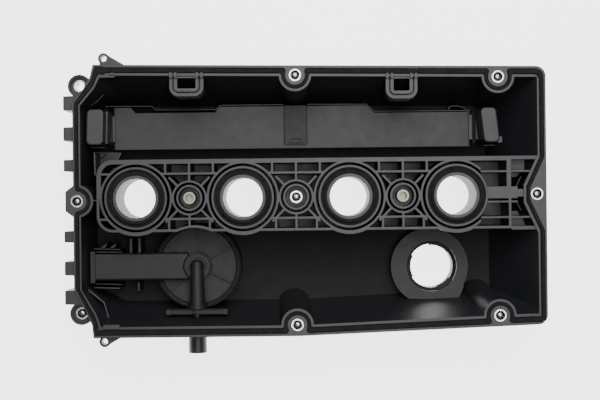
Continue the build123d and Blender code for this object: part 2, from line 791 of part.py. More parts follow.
    # Breather chamber: ring wall inside, seat for the diaphragm outside, port between them
    with BuildSketch(Plane.XY.offset(lower_roof_z)) as chamber:
        with Locations(breather_site):
            Circle(chamber_radius)
    extrude(amount=chamber_top_z - lower_roof_z)
    with BuildSketch(Plane.XY.offset(chamber_top_z)) as chamber_room:
        with Locations(breather_site):
            Circle(chamber_radius - chamber_wall)
    extrude(amount=chamber_floor_z - chamber_top_z, mode=Mode.SUBTRACT)
    with BuildSketch(Plane.XY.offset(disc_z - disc_thickness)) as disc_ledge:
        with Locations(breather_site):
            Circle(chamber_radius - chamber_wall)
            Circle(chamber_radius - chamber_wall - disc_ledge_width, mode=Mode.SUBTRACT)
    extrude(amount=chamber_floor_z - disc_z + disc_thickness)
    with BuildSketch(Plane.XY.offset(diaphragm_rim_z)) as cap_seat:
        with Locations(breather_site):
            Circle(cap_seat_radius)
    extrude(amount=upper_roof_z, mode=Mode.SUBTRACT)
    with BuildSketch(Plane.XY.offset(chamber_floor_z - wall)) as diaphragm_room:
        with Locations(breather_site):
            Circle(diaphragm_room_radius)
    extrude(amount=diaphragm_rim_z - chamber_floor_z, mode=Mode.SUBTRACT)
    with BuildSketch(Plane.XY.offset(chamber_floor_z)) as port_tube:
        with Locations(breather_site):
            Circle(port_radius + port_wall)
    extrude(amount=port_end_z - chamber_floor_z)
    with BuildSketch(Plane.XY.offset(chamber_floor_z)) as port:
        with Locations(breather_site):
            Circle(port_radius)
    extrude(amount=port_end_z - chamber_floor_z, mode=Mode.SUBTRACT)
    # The nipple's bore through the lower wall
    with BuildSketch(Plane.XZ.offset(-nipple_root_y - wall)) as nipple_hole:
        with Locations((breather_x, tube_z)):
            Circle(nipple_bore)
    extrude(amount=nipple_root_y + wall - nipple_end_y, mode=Mode.SUBTRACT)
    # Posts that carry the oil baffle and its clips
    with BuildSketch(Plane.XY.offset(upper_roof_z + wall / 2)) as posts:
        with Locations([(x, baffle_middle_y) for x in post_x]):
            Rectangle(post_width, baffle_width - 2 * post_inset)
    extrude(amount=baffle_z - baffle_thickness - upper_roof_z - wall / 2)
    # Holes for the sleeves and inserts
    with BuildSketch(Plane.XY) as sleeve_holes:
        with Locations(round_sites + [right_site] + lug_sites):
            Circle(sleeve_radius)
        with Locations(boss_sites):
            Circle(sleeve_radius)
    extrude(amount=channel_floor_z - wall - run_on, mode=Mode.SUBTRACT)
    with BuildSketch(Plane.XY.offset(lug_top_z)) as counterbores:
        with Locations(lug_sites):
            Circle(lug_counterbore_radius)
    extrude(amount=-lug_counterbore_depth, mode=Mode.SUBTRACT)
    with BuildSketch(Plane.XY.offset(ear_top_z)) as ear_holes:
        with Locations([(x, y) for x, y, side in ear_sites]):
            Circle(ear_sleeve_radius)
    extrude(amount=-ear_depth, mode=Mode.SUBTRACT)

cover_shell.part.label = "cover_shell"
export_step(cover_shell.part, "parts/cover_shell.step")

# Rubber gasket in the flange groove
with BuildPart() as perimeter_gasket:
    with BuildSketch(Plane.XY.offset(-groove_depth)) as bead:
        offset(groove_outer, amount=-gasket_clearance)
        offset(groove_inner, amount=gasket_clearance, mode=Mode.SUBTRACT)
    extrude(amount=gasket_height)
perimeter_gasket.part.label = "perimeter_gasket"
export_step(perimeter_gasket.part, "parts/perimeter_gasket.step")

# Rubber seal round each plug well, a broad foot with a narrow bead
seal_foot_z = well_ridge_top_z - well_groove_depth
for number, site in enumerate(well_sites, 1):
    with BuildPart() as plug_well_seal:
        with BuildSketch(Plane.XY.offset(seal_foot_z)) as seal_foot:
            with Locations(site):
                Circle(well_groove_radius - seal_clearance)
                Circle(well_tube_radius + seal_clearance, mode=Mode.SUBTRACT)
        extrude(amount=seal_foot_height)
        with BuildSketch(Plane.XY.offset(seal_foot_z + seal_foot_height)) as seal_bead:
            with Locations(site):
                Circle(well_tube_radius + seal_clearance + seal_bead_width)
                Circle(well_tube_radius + seal_clearance, mode=Mode.SUBTRACT)
        extrude(amount=seal_height - seal_foot_height)
    plug_well_seal.part.label = f"plug_well_seal_{number}"
    export_step(plug_well_seal.part, f"parts/plug_well_seal_{number}.step")

# Steel sleeves that carry the clamping load of the bolts
boss_bottom_z = channel_floor_z - wall
lug_seat_z = lug_top_z - lug_counterbore_depth
lug_bottom_z = lug_top_z - lug_depth
sleeve_runs = [(site, 0.0, -bolt_boss_depth) for site in round_sites + [right_site]]
sleeve_runs.append((boss_sites[1], -bolt_recess, boss_bottom_z))
lug_runs = [(site, lug_seat_z + bolt_recess, lug_bottom_z) for site in lug_sites]
with BuildPart() as bolt_sleeves:
    for site, top_z, bottom_z in sleeve_runs + lug_runs:
        with BuildSketch(Plane.XY.offset(bottom_z)) as sleeve_ring:
            with Locations(site):
                Circle(sleeve_radius)
                Circle(bolt_radius + bolt_clearance, mode=Mode.SUBTRACT)
        extrude(amount=top_z - bottom_z)
bolt_sleeves.part.label = "bolt_sleeves"
export_step(bolt_sleeves.part, "parts/bolt_sleeves.step")

# Captive flange bolts, heads below; the upper left lug is delivered without one
with BuildPart() as cover_bolts:
    for site, top_z, bottom_z in sleeve_runs + lug_runs[1:]:
        with BuildSketch(Plane.XY.offset(bottom_z)) as shank:
            with Locations(site):
                Circle(bolt_radius)
        extrude(amount=top_z - bolt_tip_drop - bottom_z)
        with BuildSketch(Plane.XY.offset(bottom_z)) as head_flange:
            with Locations(site):
                Circle(bolt_flange_radius)
        extrude(amount=-bolt_flange_height)
        with BuildSketch(Plane.XY.offset(bottom_z - bolt_flange_height)) as hexagon:
            with Locations(site):
                RegularPolygon(bolt_head_radius, 6, major_radius=False)
        extrude(amount=-bolt_head_height)
cover_bolts.part.label = "cover_bolts"
export_step(cover_bolts.part, "parts/cover_bolts.step")

# Threaded inserts for the coil pack, dimpled at their inner ends
with BuildPart() as coil_inserts:
    with BuildSketch(Plane.XY.offset(boss_bottom_z)) as insert_body:
        with Locations(insert_sites):
            Circle(sleeve_radius)
    extrude(amount=insert_top_z - boss_bottom_z)
    with BuildSketch(Plane.XY.offset(insert_top_z)) as insert_dimple:
        with Locations(insert_sites):
            Circle(insert_bore_radius)
    extrude(amount=-insert_dimple_depth, mode=Mode.SUBTRACT)
    with BuildSketch(Plane.XY.offset(boss_bottom_z)) as insert_thread:
        with Locations(insert_sites):
            Circle(insert_thread_radius)
    extrude(amount=insert_thread_depth, mode=Mode.SUBTRACT)
coil_inserts.part.label = "coil_inserts"
export_step(coil_inserts.part, "parts/coil_inserts.step")

# Small sleeves in the two corner ears
with BuildPart() as ear_sleeves:
    with BuildSketch(Plane.XY.offset(ear_top_z - ear_depth)) as ear_ring:
        with Locations([(x, y) for x, y, side in ear_sites]):
            Circle(ear_sleeve_radius)
            Circle(ear_sleeve_radius - ear_sleeve_wall, mode=Mode.SUBTRACT)
    extrude(amount=ear_depth)
ear_sleeves.part.label = "ear_sleeves"
export_step(ear_sleeves.part, "parts/ear_sleeves.step")

# Oil baffle plate over the upper bank's roof
clip_notch_y = baffle_top_y - clip_notch_depth
with BuildPart() as baffle_plate:
    with BuildSketch(Plane.XY.offset(baffle_z)) as plate:
        with Locations((baffle_left, baffle_middle_y)):
            Rectangle(baffle_right - baffle_left, baffle_width, align=(Align.MIN, Align.CENTER))
        for start_x, end_x, depth in baffle_notches:
            Polygon(
                (start_x, baffle_top_y + run_on),
                (start_x + depth, baffle_top_y - depth),
                (end_x - depth, baffle_top_y - depth),
                (end_x, baffle_top_y + run_on),
                align=None,
                mode=Mode.SUBTRACT,
            )
        with Locations((0.0, clip_notch_y)):
            Rectangle(
                middle_clip_width + 2 * clip_clearance,
                baffle_width,
                align=(Align.CENTER, Align.MIN),
                mode=Mode.SUBTRACT,
            )
    extrude(amount=-baffle_thickness)
baffle_plate.part.label = "baffle_plate"
export_step(baffle_plate.part, "parts/baffle_plate.step")

# End clip over the baffle's left end
clip_bottom_z = baffle_z - baffle_thickness
left_clip_points = end_clip_points(
    left_clip_start, left_clip_width, left_clip_bottom_y, left_clip_top_y, left_clip_skew
)
with BuildPart() as baffle_clip_left:
    with BuildSketch(Plane.XY.offset(clip_bottom_z)) as left_block:
        Polygon(*left_clip_points, align=None)
        fillet(left_block.vertices(), end_clip_corner)
    extrude(amount=end_clip_height)
    fillet(baffle_clip_left.faces().sort_by(Axis.Z)[-1].edges(), end_clip_round)
    with BuildSketch(Plane.XY.offset(clip_bottom_z)) as left_hollow:
        with BuildSketch(mode=Mode.PRIVATE) as left_outline:
            Polygon(*left_clip_points, align=None)
        offset(left_outline.sketch, amount=-clip_wall, kind=Kind.INTERSECTION)
    extrude(amount=end_clip_height - 2 * clip_wall, mode=Mode.SUBTRACT)
    left_tongue_x = left_clip_start + left_clip_width - clip_wall / 2 - left_clip_skew / 2
    with BuildSketch(Plane.XY.offset(baffle_z + clip_clearance)) as left_tongue:
        with Locations((left_tongue_x, (left_clip_bottom_y + left_clip_top_y) / 2)):
            Rectangle(
                baffle_left + tongue_overlap - left_tongue_x,
                left_clip_top_y - left_clip_bottom_y - 2 * end_clip_corner,
                align=(Align.MIN, Align.CENTER),
            )
    extrude(amount=clip_wall)
baffle_clip_left.part.label = "baffle_clip_left"
export_step(baffle_clip_left.part, "parts/baffle_clip_left.step")

# Middle clip, a saddle that hooks under the baffle's upper edge
with BuildPart() as baffle_clip_middle:
    with BuildSketch(Plane.YZ.offset(-middle_clip_width / 2)) as saddle:
        saddle_bottom = baffle_z + clip_clearance
        hook_top = baffle_z - baffle_thickness - clip_clearance
        leg_y = clip_notch_y + clip_clearance
        Polygon(
            (middle_clip_start_y, saddle_bottom),
            (leg_y, saddle_bottom),
            (leg_y, hook_top),
            (leg_y - clip_overlap, hook_top),
            (leg_y - clip_overlap, hook_top - clip_wall),
            (leg_y + clip_wall, hook_top - clip_wall),
            (leg_y + clip_wall, saddle_bottom),
            (baffle_top_y + clip_clearance, saddle_bottom),
            (baffle_top_y + clip_clearance, saddle_bottom + clip_wall),
            (middle_clip_start_y, saddle_bottom + clip_wall),
            align=None,
        )
    extrude(amount=middle_clip_width)
    with BuildSketch(Plane.XY.offset(saddle_bottom)) as hook_slot:
        with Locations((0.0, middle_clip_start_y + hook_slot_inset)):
            Rectangle(hook_slot_length, hook_slot_width)
    extrude(amount=clip_wall, mode=Mode.SUBTRACT)
baffle_clip_middle.part.label = "baffle_clip_middle"
export_step(baffle_clip_middle.part, "parts/baffle_clip_middle.step")

# End clip over the baffle's right end
right_clip_points = end_clip_points(
    right_clip_start, right_clip_width, right_clip_bottom_y, right_clip_top_y, right_clip_skew
)
with BuildPart() as baffle_clip_right:
    with BuildSketch(Plane.XY.offset(clip_bottom_z)) as right_block:
        Polygon(*right_clip_points, align=None)
        fillet(right_block.vertices(), end_clip_corner)
    extrude(amount=end_clip_height)
    fillet(baffle_clip_right.faces().sort_by(Axis.Z)[-1].edges(), end_clip_round)
    with BuildSketch(Plane.XY.offset(clip_bottom_z)) as right_hollow:
        with BuildSketch(mode=Mode.PRIVATE) as right_outline:
            Polygon(*right_clip_points, align=None)
        offset(right_outline.sketch, amount=-clip_wall, kind=Kind.INTERSECTION)
    extrude(amount=end_clip_height - 2 * clip_wall, mode=Mode.SUBTRACT)
    right_tongue_x = right_clip_start + clip_wall / 2 - right_clip_skew / 2
    with BuildSketch(Plane.XY.offset(baffle_z + clip_clearance)) as right_tongue:
        with Locations((right_tongue_x, (right_clip_bottom_y + right_clip_top_y) / 2)):
            Rectangle(
                right_tongue_x - baffle_right + tongue_overlap,
                right_clip_top_y - right_clip_bottom_y - 2 * end_clip_corner,
                align=(Align.MAX, Align.CENTER),
            )
    extrude(amount=clip_wall)
baffle_clip_right.part.label = "baffle_clip_right"
export_step(baffle_clip_right.part, "parts/baffle_clip_right.step")

# Ribbed disc that closes the separator chamber, with the hub under the outlet tube
disc_radius = chamber_radius - chamber_wall - disc_clearance
duct_bottom_z = disc_z + duct_lift
duct_inner_x = breather_x - hub_radius - disc_clearance
duct_end_x = breather_x - duct_hug
with BuildPart() as separator_disc:
    with BuildSketch(Plane.XY.offset(disc_z)) as disc:
        with Locations(breather_site):
            Circle(disc_radius)
    extrude(amount=-disc_thickness)
    with BuildSketch(Plane.XY.offset(disc_z)) as disc_ribs:
        for angle in disc_rib_angles:
            with Locations(Location(breather_site, angle)):
                Rectangle(disc_radius - disc_rib_end, disc_rib_width, align=(Align.MIN, Align.CENTER))
        with Locations((duct_end_x + disc_clearance, breather_y)):
            Rectangle(
                2 * chamber_radius,
                duct_width + 4 * disc_clearance,
                align=(Align.MAX, Align.CENTER),
                mode=Mode.SUBTRACT,
            )
    extrude(amount=disc_rib_height)
    with BuildSketch(Plane.XY.offset(disc_z)) as hub:
        with Locations(breather_site):
            Circle(hub_radius)
    extrude(amount=tube_z - tube_start_radius - hub_gap - disc_z)
separator_disc.part.label = "separator_disc"
export_step(separator_disc.part, "parts/separator_disc.step")

# Flat inlet duct that lies on the disc, open at its flanged left end
with BuildPart() as inlet_duct:
    with BuildSketch(Plane.XY.offset(duct_bottom_z)) as duct_outline:
        with Locations((duct_start_x, breather_y)):
            Rectangle(duct_end_x - duct_start_x, duct_width, align=(Align.MIN, Align.CENTER))
        with Locations(breather_site):
            Circle(hub_radius + disc_clearance, mode=Mode.SUBTRACT)
    extrude(amount=duct_height)
    fillet(inlet_duct.faces().sort_by(Axis.Z)[-1].edges().filter_by(Axis.X), duct_round)
    with BuildSketch(Plane.YZ.offset(duct_start_x)) as duct_flange:
        with Locations((breather_y, duct_bottom_z + duct_height + duct_flange_rim)):
            Rectangle(
                duct_width + 2 * duct_flange_rim,
                duct_height + 2 * duct_flange_rim + duct_drop,
                align=(Align.CENTER, Align.MAX),
            )
    extrude(amount=-duct_flange_thickness)
    with BuildSketch(Plane.YZ.offset(duct_start_x - duct_flange_thickness)) as duct_bore:
        with Locations((breather_y, duct_bottom_z + duct_wall)):
            Rectangle(
                duct_width - 2 * duct_wall,
                duct_height - 2 * duct_wall,
                align=(Align.CENTER, Align.MIN),
            )
    extrude(amount=duct_inner_x - duct_start_x - duct_wall, mode=Mode.SUBTRACT)
inlet_duct.part.label = "inlet_duct"
export_step(inlet_duct.part, "parts/inlet_duct.step")

# Outlet tube from the hub to the lower wall, widening to its collar
tube_length = breather_y + tube_overrun - tube_end_y
with BuildPart() as outlet_tube:
    with BuildSketch(Plane.XZ.offset(-breather_y - tube_overrun)) as tube_start:
        with Locations((breather_x, tube_z)):
            Circle(tube_start_radius)
    with BuildSketch(Plane.XZ.offset(-tube_end_y)) as tube_end:
        with Locations((breather_x, tube_z)):
            Circle(tube_end_radius)
    loft(ruled=True)
    with BuildSketch(Plane.XZ.offset(-tube_end_y)) as tube_collar:
        with Locations((breather_x, tube_z)):
            Circle(tube_end_radius + collar_rim)
    extrude(amount=collar_thickness)
    with BuildSketch(Plane.XZ.offset(-breather_y - tube_overrun + tube_wall)) as tube_bore:
        with Locations((breather_x, tube_z)):
            Circle(tube_start_radius - tube_wall)
    extrude(amount=tube_length - tube_wall + collar_thickness, mode=Mode.SUBTRACT)
outlet_tube.part.label = "outlet_tube"
export_step(outlet_tube.part, "parts/outlet_tube.step")

# Cross bar that ties the tube's collar to the lower wall over the nipple
bar_start_y = tube_end_y - collar_thickness - bracket_gap
with BuildPart() as outlet_bracket:
    with BuildSketch(Plane.XZ.offset(-bar_start_y)) as cross_bar:
        with Locations((breather_x, tube_z)):
            Rectangle(bracket_width, bracket_height)
            Circle(nipple_bore, mode=Mode.SUBTRACT)
    extrude(amount=bracket_thickness)
    with BuildSketch(Plane.XZ.offset(-bar_start_y)) as end_posts:
        with Locations((breather_x - bracket_width / 2, tube_z), (breather_x + bracket_width / 2, tube_z)):
            Rectangle(bracket_post_width, bracket_height + 2 * post_overhang)
    extrude(amount=bracket_thickness)
outlet_bracket.part.label = "outlet_bracket"
export_step(outlet_bracket.part, "parts/outlet_bracket.step")

# Rubber diaphragm, its rim held between the cover's ledge and the cap
centre_z = diaphragm_rim_z - diaphragm_drop
with BuildPart() as breather_diaphragm:
    with BuildSketch(Plane.XZ.offset(-breather_y)) as diaphragm_section:
        with BuildLine() as diaphragm_line:
            Polyline(
                (breather_x, centre_z),
                (breather_x + plate_radius, centre_z),
                (breather_x + diaphragm_radius, diaphragm_rim_z),
                (breather_x + cap_radius - cap_clearance, diaphragm_rim_z),
                (breather_x + cap_radius - cap_clearance, diaphragm_rim_z - diaphragm_thickness),
                (breather_x + diaphragm_radius, diaphragm_rim_z - diaphragm_thickness),
                (breather_x + plate_radius, centre_z - diaphragm_thickness),
                (breather_x, centre_z - diaphragm_thickness),
                close=True,
            )
        make_face()
    revolve(axis=Axis((breather_x, breather_y, 0), (0, 0, 1)))
breather_diaphragm.part.label = "breather_diaphragm"
export_step(breather_diaphragm.part, "parts/breather_diaphragm.step")

# Stiff plate on the diaphragm, which closes the port as it rises
plate_bottom_z = centre_z + plate_gap
with BuildPart() as diaphragm_plate:
    with BuildSketch(Plane.XY.offset(plate_bottom_z)) as plate_disc:
        with Locations(breather_site):
            Circle(plate_radius - plate_gap)
    extrude(amount=plate_thickness)
    with BuildSketch(Plane.XY.offset(plate_bottom_z)) as plate_rim:
        with Locations(breather_site):
            Circle(plate_radius - plate_gap)
            Circle(spring_radius + spring_wire, mode=Mode.SUBTRACT)
    extrude(amount=plate_thickness + spring_wire)
diaphragm_plate.part.label = "diaphragm_plate"
export_step(diaphragm_plate.part, "parts/diaphragm_plate.step")

# Return spring round the port tube
spring_bottom_z = plate_bottom_z + plate_thickness + spring_wire / 2 + plate_gap / 2
spring_top_z = chamber_floor_z - wall - spring_wire / 2 - plate_gap / 2
with BuildPart() as diaphragm_spring:
    with BuildLine() as coil:
        Helix(
            pitch=(spring_top_z - spring_bottom_z) / spring_turns,
            height=spring_top_z - spring_bottom_z,
            radius=spring_radius,
            center=(breather_x, breather_y, spring_bottom_z),
        )
    with BuildSketch(Plane(origin=coil.line @ 0, z_dir=coil.line % 0)) as wire_section:
        RegularPolygon(spring_wire / 2, 6)
    sweep(path=coil.line, is_frenet=True)
diaphragm_spring.part.label = "diaphragm_spring"
export_step(diaphragm_spring.part, "parts/diaphragm_spring.step")

# Cap that closes the breather from outside
with BuildPart() as breather_cap:
    with BuildSketch(Plane.XZ.offset(-breather_y)) as cap_section:
        with BuildLine() as cap_line:
            Polyline(
                (breather_x, upper_roof_z),
                (breather_x + cap_radius - cap_round, upper_roof_z),
                (breather_x + cap_radius, upper_roof_z + cap_round),
                (breather_x + cap_radius, diaphragm_rim_z - diaphragm_thickness),
                (breather_x + diaphragm_radius + cap_lip_gap, diaphragm_rim_z - diaphragm_thickness),
                (breather_x + diaphragm_radius + cap_lip_gap, upper_roof_z + cap_thickness),
                (breather_x, upper_roof_z + cap_thickness),
                close=True,
            )
        make_face()
    revolve(axis=Axis((breather_x, breather_y, 0), (0, 0, 1)))
breather_cap.part.label = "breather_cap"
export_step(breather_cap.part, "parts/breather_cap.step")
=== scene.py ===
"""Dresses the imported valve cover: nylon, rubber, steel, small moulded detail and the studio."""
import math

import bmesh
import bpy
from bpy.props import FloatProperty, FloatVectorProperty, PointerProperty
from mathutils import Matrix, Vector


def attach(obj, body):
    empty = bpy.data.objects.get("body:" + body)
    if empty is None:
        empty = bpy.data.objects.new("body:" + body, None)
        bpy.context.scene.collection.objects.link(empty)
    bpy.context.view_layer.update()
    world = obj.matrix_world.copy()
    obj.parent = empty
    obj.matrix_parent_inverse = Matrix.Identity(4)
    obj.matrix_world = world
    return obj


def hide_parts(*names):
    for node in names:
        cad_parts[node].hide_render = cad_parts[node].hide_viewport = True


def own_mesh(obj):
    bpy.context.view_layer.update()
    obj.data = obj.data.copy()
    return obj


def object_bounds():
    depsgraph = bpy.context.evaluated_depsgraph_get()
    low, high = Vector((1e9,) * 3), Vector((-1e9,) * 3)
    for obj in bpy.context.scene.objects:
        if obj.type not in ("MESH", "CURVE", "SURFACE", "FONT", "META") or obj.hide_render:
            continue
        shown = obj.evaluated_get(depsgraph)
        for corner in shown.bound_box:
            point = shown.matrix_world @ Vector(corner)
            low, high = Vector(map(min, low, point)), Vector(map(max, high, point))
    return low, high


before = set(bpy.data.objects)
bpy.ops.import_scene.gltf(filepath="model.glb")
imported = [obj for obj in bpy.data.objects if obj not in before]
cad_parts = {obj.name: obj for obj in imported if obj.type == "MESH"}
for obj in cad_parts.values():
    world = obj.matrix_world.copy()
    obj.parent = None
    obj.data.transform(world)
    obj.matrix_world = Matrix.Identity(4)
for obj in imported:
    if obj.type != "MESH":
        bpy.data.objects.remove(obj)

bl_info = {
    "name": "Valve Cover Dressing",
    "version": (1, 0, 0),
    "blender": (4, 5, 0),
    "location": "View3D > Sidebar > Valve Cover",
    "description": "Finishes a moulded engine valve cover seen from its engine side",
    "category": "Object",
}

BODY = "cover"
MM = 0.001
cad_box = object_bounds()


def linear(code):
    """Opaque linear colour of an sRGB hex code."""
    values = [int(code[i : i + 2], 16) / 255 for i in (0, 2, 4)]
    return [v / 12.92 if v <= 0.04045 else ((v + 0.055) / 1.055) ** 2.4 for v in values] + [1.0]


def connect(tree, node, inputs):
    """Gives each named socket of a node its value or the socket that feeds it."""
    for name, value in inputs.items():
        if isinstance(value, bpy.types.NodeSocket):
            tree.links.new(value, node.inputs[name])
        else:
            node.inputs[name].default_value = value


def add_node(tree, kind, inputs=None, **settings):
    """Adds a node with its settings, values and links."""
    made = tree.nodes.new(kind)
    for name, value in settings.items():
        setattr(made, name, value)
    connect(tree, made, inputs or {})
    return made


def new_material(name, constants):
    """Makes a material; returns it with its tree, its shader and the place in millimetres."""
    material = bpy.data.materials.new(name)
    material.use_nodes = True
    tree = material.node_tree
    tree.nodes.clear()
    shader = add_node(tree, "ShaderNodeBsdfPrincipled", constants)
    add_node(tree, "ShaderNodeOutputMaterial", {"Surface": shader.outputs["BSDF"]})
    metres = add_node(tree, "ShaderNodeTexCoord").outputs["Object"]
    scaling = {0: metres, 1: (1 / MM, 1 / MM, 1 / MM)}
    place = add_node(tree, "ShaderNodeVectorMath", scaling, operation="MULTIPLY")
    return material, tree, shader, place.outputs["Vector"]


# A colour mix keeps its factor, its first and second colour and its result in these sockets
FACTOR, FIRST, SECOND, MIXED = 0, 6, 7, 2
# Most of a noise lies between these two values
NOISE_LOW, NOISE_HIGH = 0.3, 0.7
# How strongly each finer layer of a noise shows
LAYERS = 0.55

# Widths and depths of the patterns in millimetres
CLOUD_WIDTH = 38.0
SHEEN_WIDTH = 9.0
PIT_WIDTH, PIT_DEPTH = 0.9, 0.035
DUST_WIDTH = 6.0
SKIN_WIDTH, SKIN_DEPTH = 1.1, 0.03
STAIN_WIDTH = 3.5
MARK_WIDTH, MARK_DEPTH = 0.5, 0.02
HAZE_WIDTH = 400.0

# Rounding drawn on the edges of rubber and of metal
RUBBER_EDGE, METAL_EDGE = 0.3, 0.2

# Heights, in millimetres, over which painted shade darkens the shell's floors and painted light
# makes its joint face paler, chosen to match the photograph's tones
PAINTED_SHADE_BAND = (-58.0, -42.5)
PAINTED_LIGHT_BAND = (-7.0, -1.5)
# How much duller the coarse floors are
FLOOR_DULL = 0.4


def moulded_nylon(name, dark, pale, rough, round_edge, deep=None, top=None):
    """Filled nylon as it leaves a spark-eroded mould: satin, with faint flow clouds; given deep and
    top colours, it also has painted shade on its floors and painted light on its joint face.
    """
    material, tree, shader, place = new_material(name, {"IOR": 1.53})
    # Flow clouds are 20 to 60 mm wide where the fibres lie another way
    flow_size = {"Vector": place, "Scale": 1 / CLOUD_WIDTH, "Detail": 4.0, "Roughness": LAYERS}
    flow = add_node(tree, "ShaderNodeTexNoise", flow_size)
    flowing = {"Value": flow.outputs["Fac"], "From Min": NOISE_LOW, "From Max": NOISE_HIGH}
    clouds = add_node(tree, "ShaderNodeMapRange", flowing)
    nylon = {FACTOR: clouds.outputs["Result"], FIRST: dark, SECOND: pale}
    colour = add_node(tree, "ShaderNodeMix", nylon, data_type="RGBA").outputs[MIXED]
    # Patches about 9 mm wide came away from the mould a little glossier or duller
    patch_size = {"Vector": place, "Scale": 1 / SHEEN_WIDTH, "Detail": 3.0, "Roughness": LAYERS}
    patch = add_node(tree, "ShaderNodeTexNoise", patch_size)
    patches = {
        "Value": patch.outputs["Fac"],
        "From Min": NOISE_LOW,
        "From Max": NOISE_HIGH,
        "To Min": rough - 0.02,
        "To Max": rough + 0.03,
    }
    sheen = add_node(tree, "ShaderNodeMapRange", patches).outputs["Result"]
    if deep is not None:
        # Faces that look out of the mouth: painted light makes them paler near the joint, and
        # painted shade makes them darker at the bottom, where they are also coarser
        height = add_node(tree, "ShaderNodeSeparateXYZ", {"Vector": place}).outputs["Z"]
        normal = add_node(tree, "ShaderNodeTexCoord").outputs["Normal"]
        rise = add_node(tree, "ShaderNodeSeparateXYZ", {"Vector": normal}).outputs["Z"]
        # A wall's normal rises by less than 0.3 and a floor's by more than 0.7
        turn = {"Value": rise, "From Min": 0.3, "From Max": 0.7}
        faces_up = add_node(tree, "ShaderNodeMapRange", turn).outputs["Result"]
        deepest, shallowest = PAINTED_SHADE_BAND
        fall = {
            "Value": height,
            "From Min": deepest,
            "From Max": shallowest,
            "To Min": 1,
            "To Max": 0,
        }
        low = add_node(tree, "ShaderNodeMapRange", fall).outputs["Result"]
        bottom = add_node(tree, "ShaderNodeMath", {0: low, 1: faces_up}, operation="MULTIPLY")
        climb = {"Value": height, "From Min": PAINTED_LIGHT_BAND[0], "From Max": PAINTED_LIGHT_BAND[1]}
        high = add_node(tree, "ShaderNodeMapRange", climb).outputs["Result"]
        joint = add_node(tree, "ShaderNodeMath", {0: high, 1: faces_up}, operation="MULTIPLY")
        # Painted shade darkens the floors towards the bottom, then painted light makes the faces
        # near the joint paler
        darker = {FACTOR: bottom.outputs["Value"], FIRST: colour, SECOND: deep}
        floors = add_node(tree, "ShaderNodeMix", darker, data_type="RGBA").outputs[MIXED]
        paler = {FACTOR: joint.outputs["Value"], FIRST: floors, SECOND: top}
        colour = add_node(tree, "ShaderNodeMix", paler, data_type="RGBA").outputs[MIXED]
        coarse = {0: bottom.outputs["Value"], 1: FLOOR_DULL, 2: sheen}
        sheen = add_node(tree, "ShaderNodeMath", coarse, operation="MULTIPLY_ADD").outputs["Value"]
    # Spark-eroded texture is about 0.1 mm; drawn at 0.9 mm so that it shows
    pit_size = {"Vector": place, "Scale": 1 / PIT_WIDTH, "Detail": 2.0, "Roughness": LAYERS}
    pits = add_node(tree, "ShaderNodeTexNoise", pit_size)
    soft = add_node(tree, "ShaderNodeBevel", {"Radius": round_edge}, samples=4)
    relief = {
        "Height": pits.outputs["Fac"],
        "Distance": PIT_DEPTH * MM,
        "Strength": 1.0,
        "Normal": soft.outputs["Normal"],
    }
    bump = add_node(tree, "ShaderNodeBump", relief)
    finish = {"Base Color": colour, "Roughness": sheen, "Normal": bump.outputs["Normal"]}
    connect(tree, shader, finish)
    return material


def soft_rubber(name, dark, pale, rough):
    """Moulded rubber: deep black with a dusty sheen."""
    material, tree, shader, place = new_material(name, {"IOR": 1.52})
    # Dust gathers in patches about 6 mm wide
    dust_size = {"Vector": place, "Scale": 1 / DUST_WIDTH, "Detail": 4.0, "Roughness": LAYERS}
    dust = add_node(tree, "ShaderNodeTexNoise", dust_size).outputs["Fac"]
    dusty = {"Value": dust, "From Min": NOISE_LOW, "From Max": NOISE_HIGH}
    greyed = add_node(tree, "ShaderNodeMapRange", dusty)
    rubber = {FACTOR: greyed.outputs["Result"], FIRST: dark, SECOND: pale}
    colour = add_node(tree, "ShaderNodeMix", rubber, data_type="RGBA")
    duller = {**dusty, "To Min": rough - 0.06, "To Max": rough + 0.08}
    sheen = add_node(tree, "ShaderNodeMapRange", duller)
    # A blasted mould leaves a grain of about 0.1 mm; drawn at 1.1 mm so that it shows
    skin_size = {"Vector": place, "Scale": 1 / SKIN_WIDTH, "Detail": 2.0, "Roughness": LAYERS}
    skin = add_node(tree, "ShaderNodeTexNoise", skin_size)
    soft = add_node(tree, "ShaderNodeBevel", {"Radius": RUBBER_EDGE * MM}, samples=4)
    relief = {
        "Height": skin.outputs["Fac"],
        "Distance": SKIN_DEPTH * MM,
        "Strength": 1.0,
        "Normal": soft.outputs["Normal"],
    }
    bump = add_node(tree, "ShaderNodeBump", relief)
    finish = {
        "Base Color": colour.outputs[MIXED],
        "Roughness": sheen.outputs["Result"],
        "Normal": bump.outputs["Normal"],
    }
    connect(tree, shader, finish)
    return material


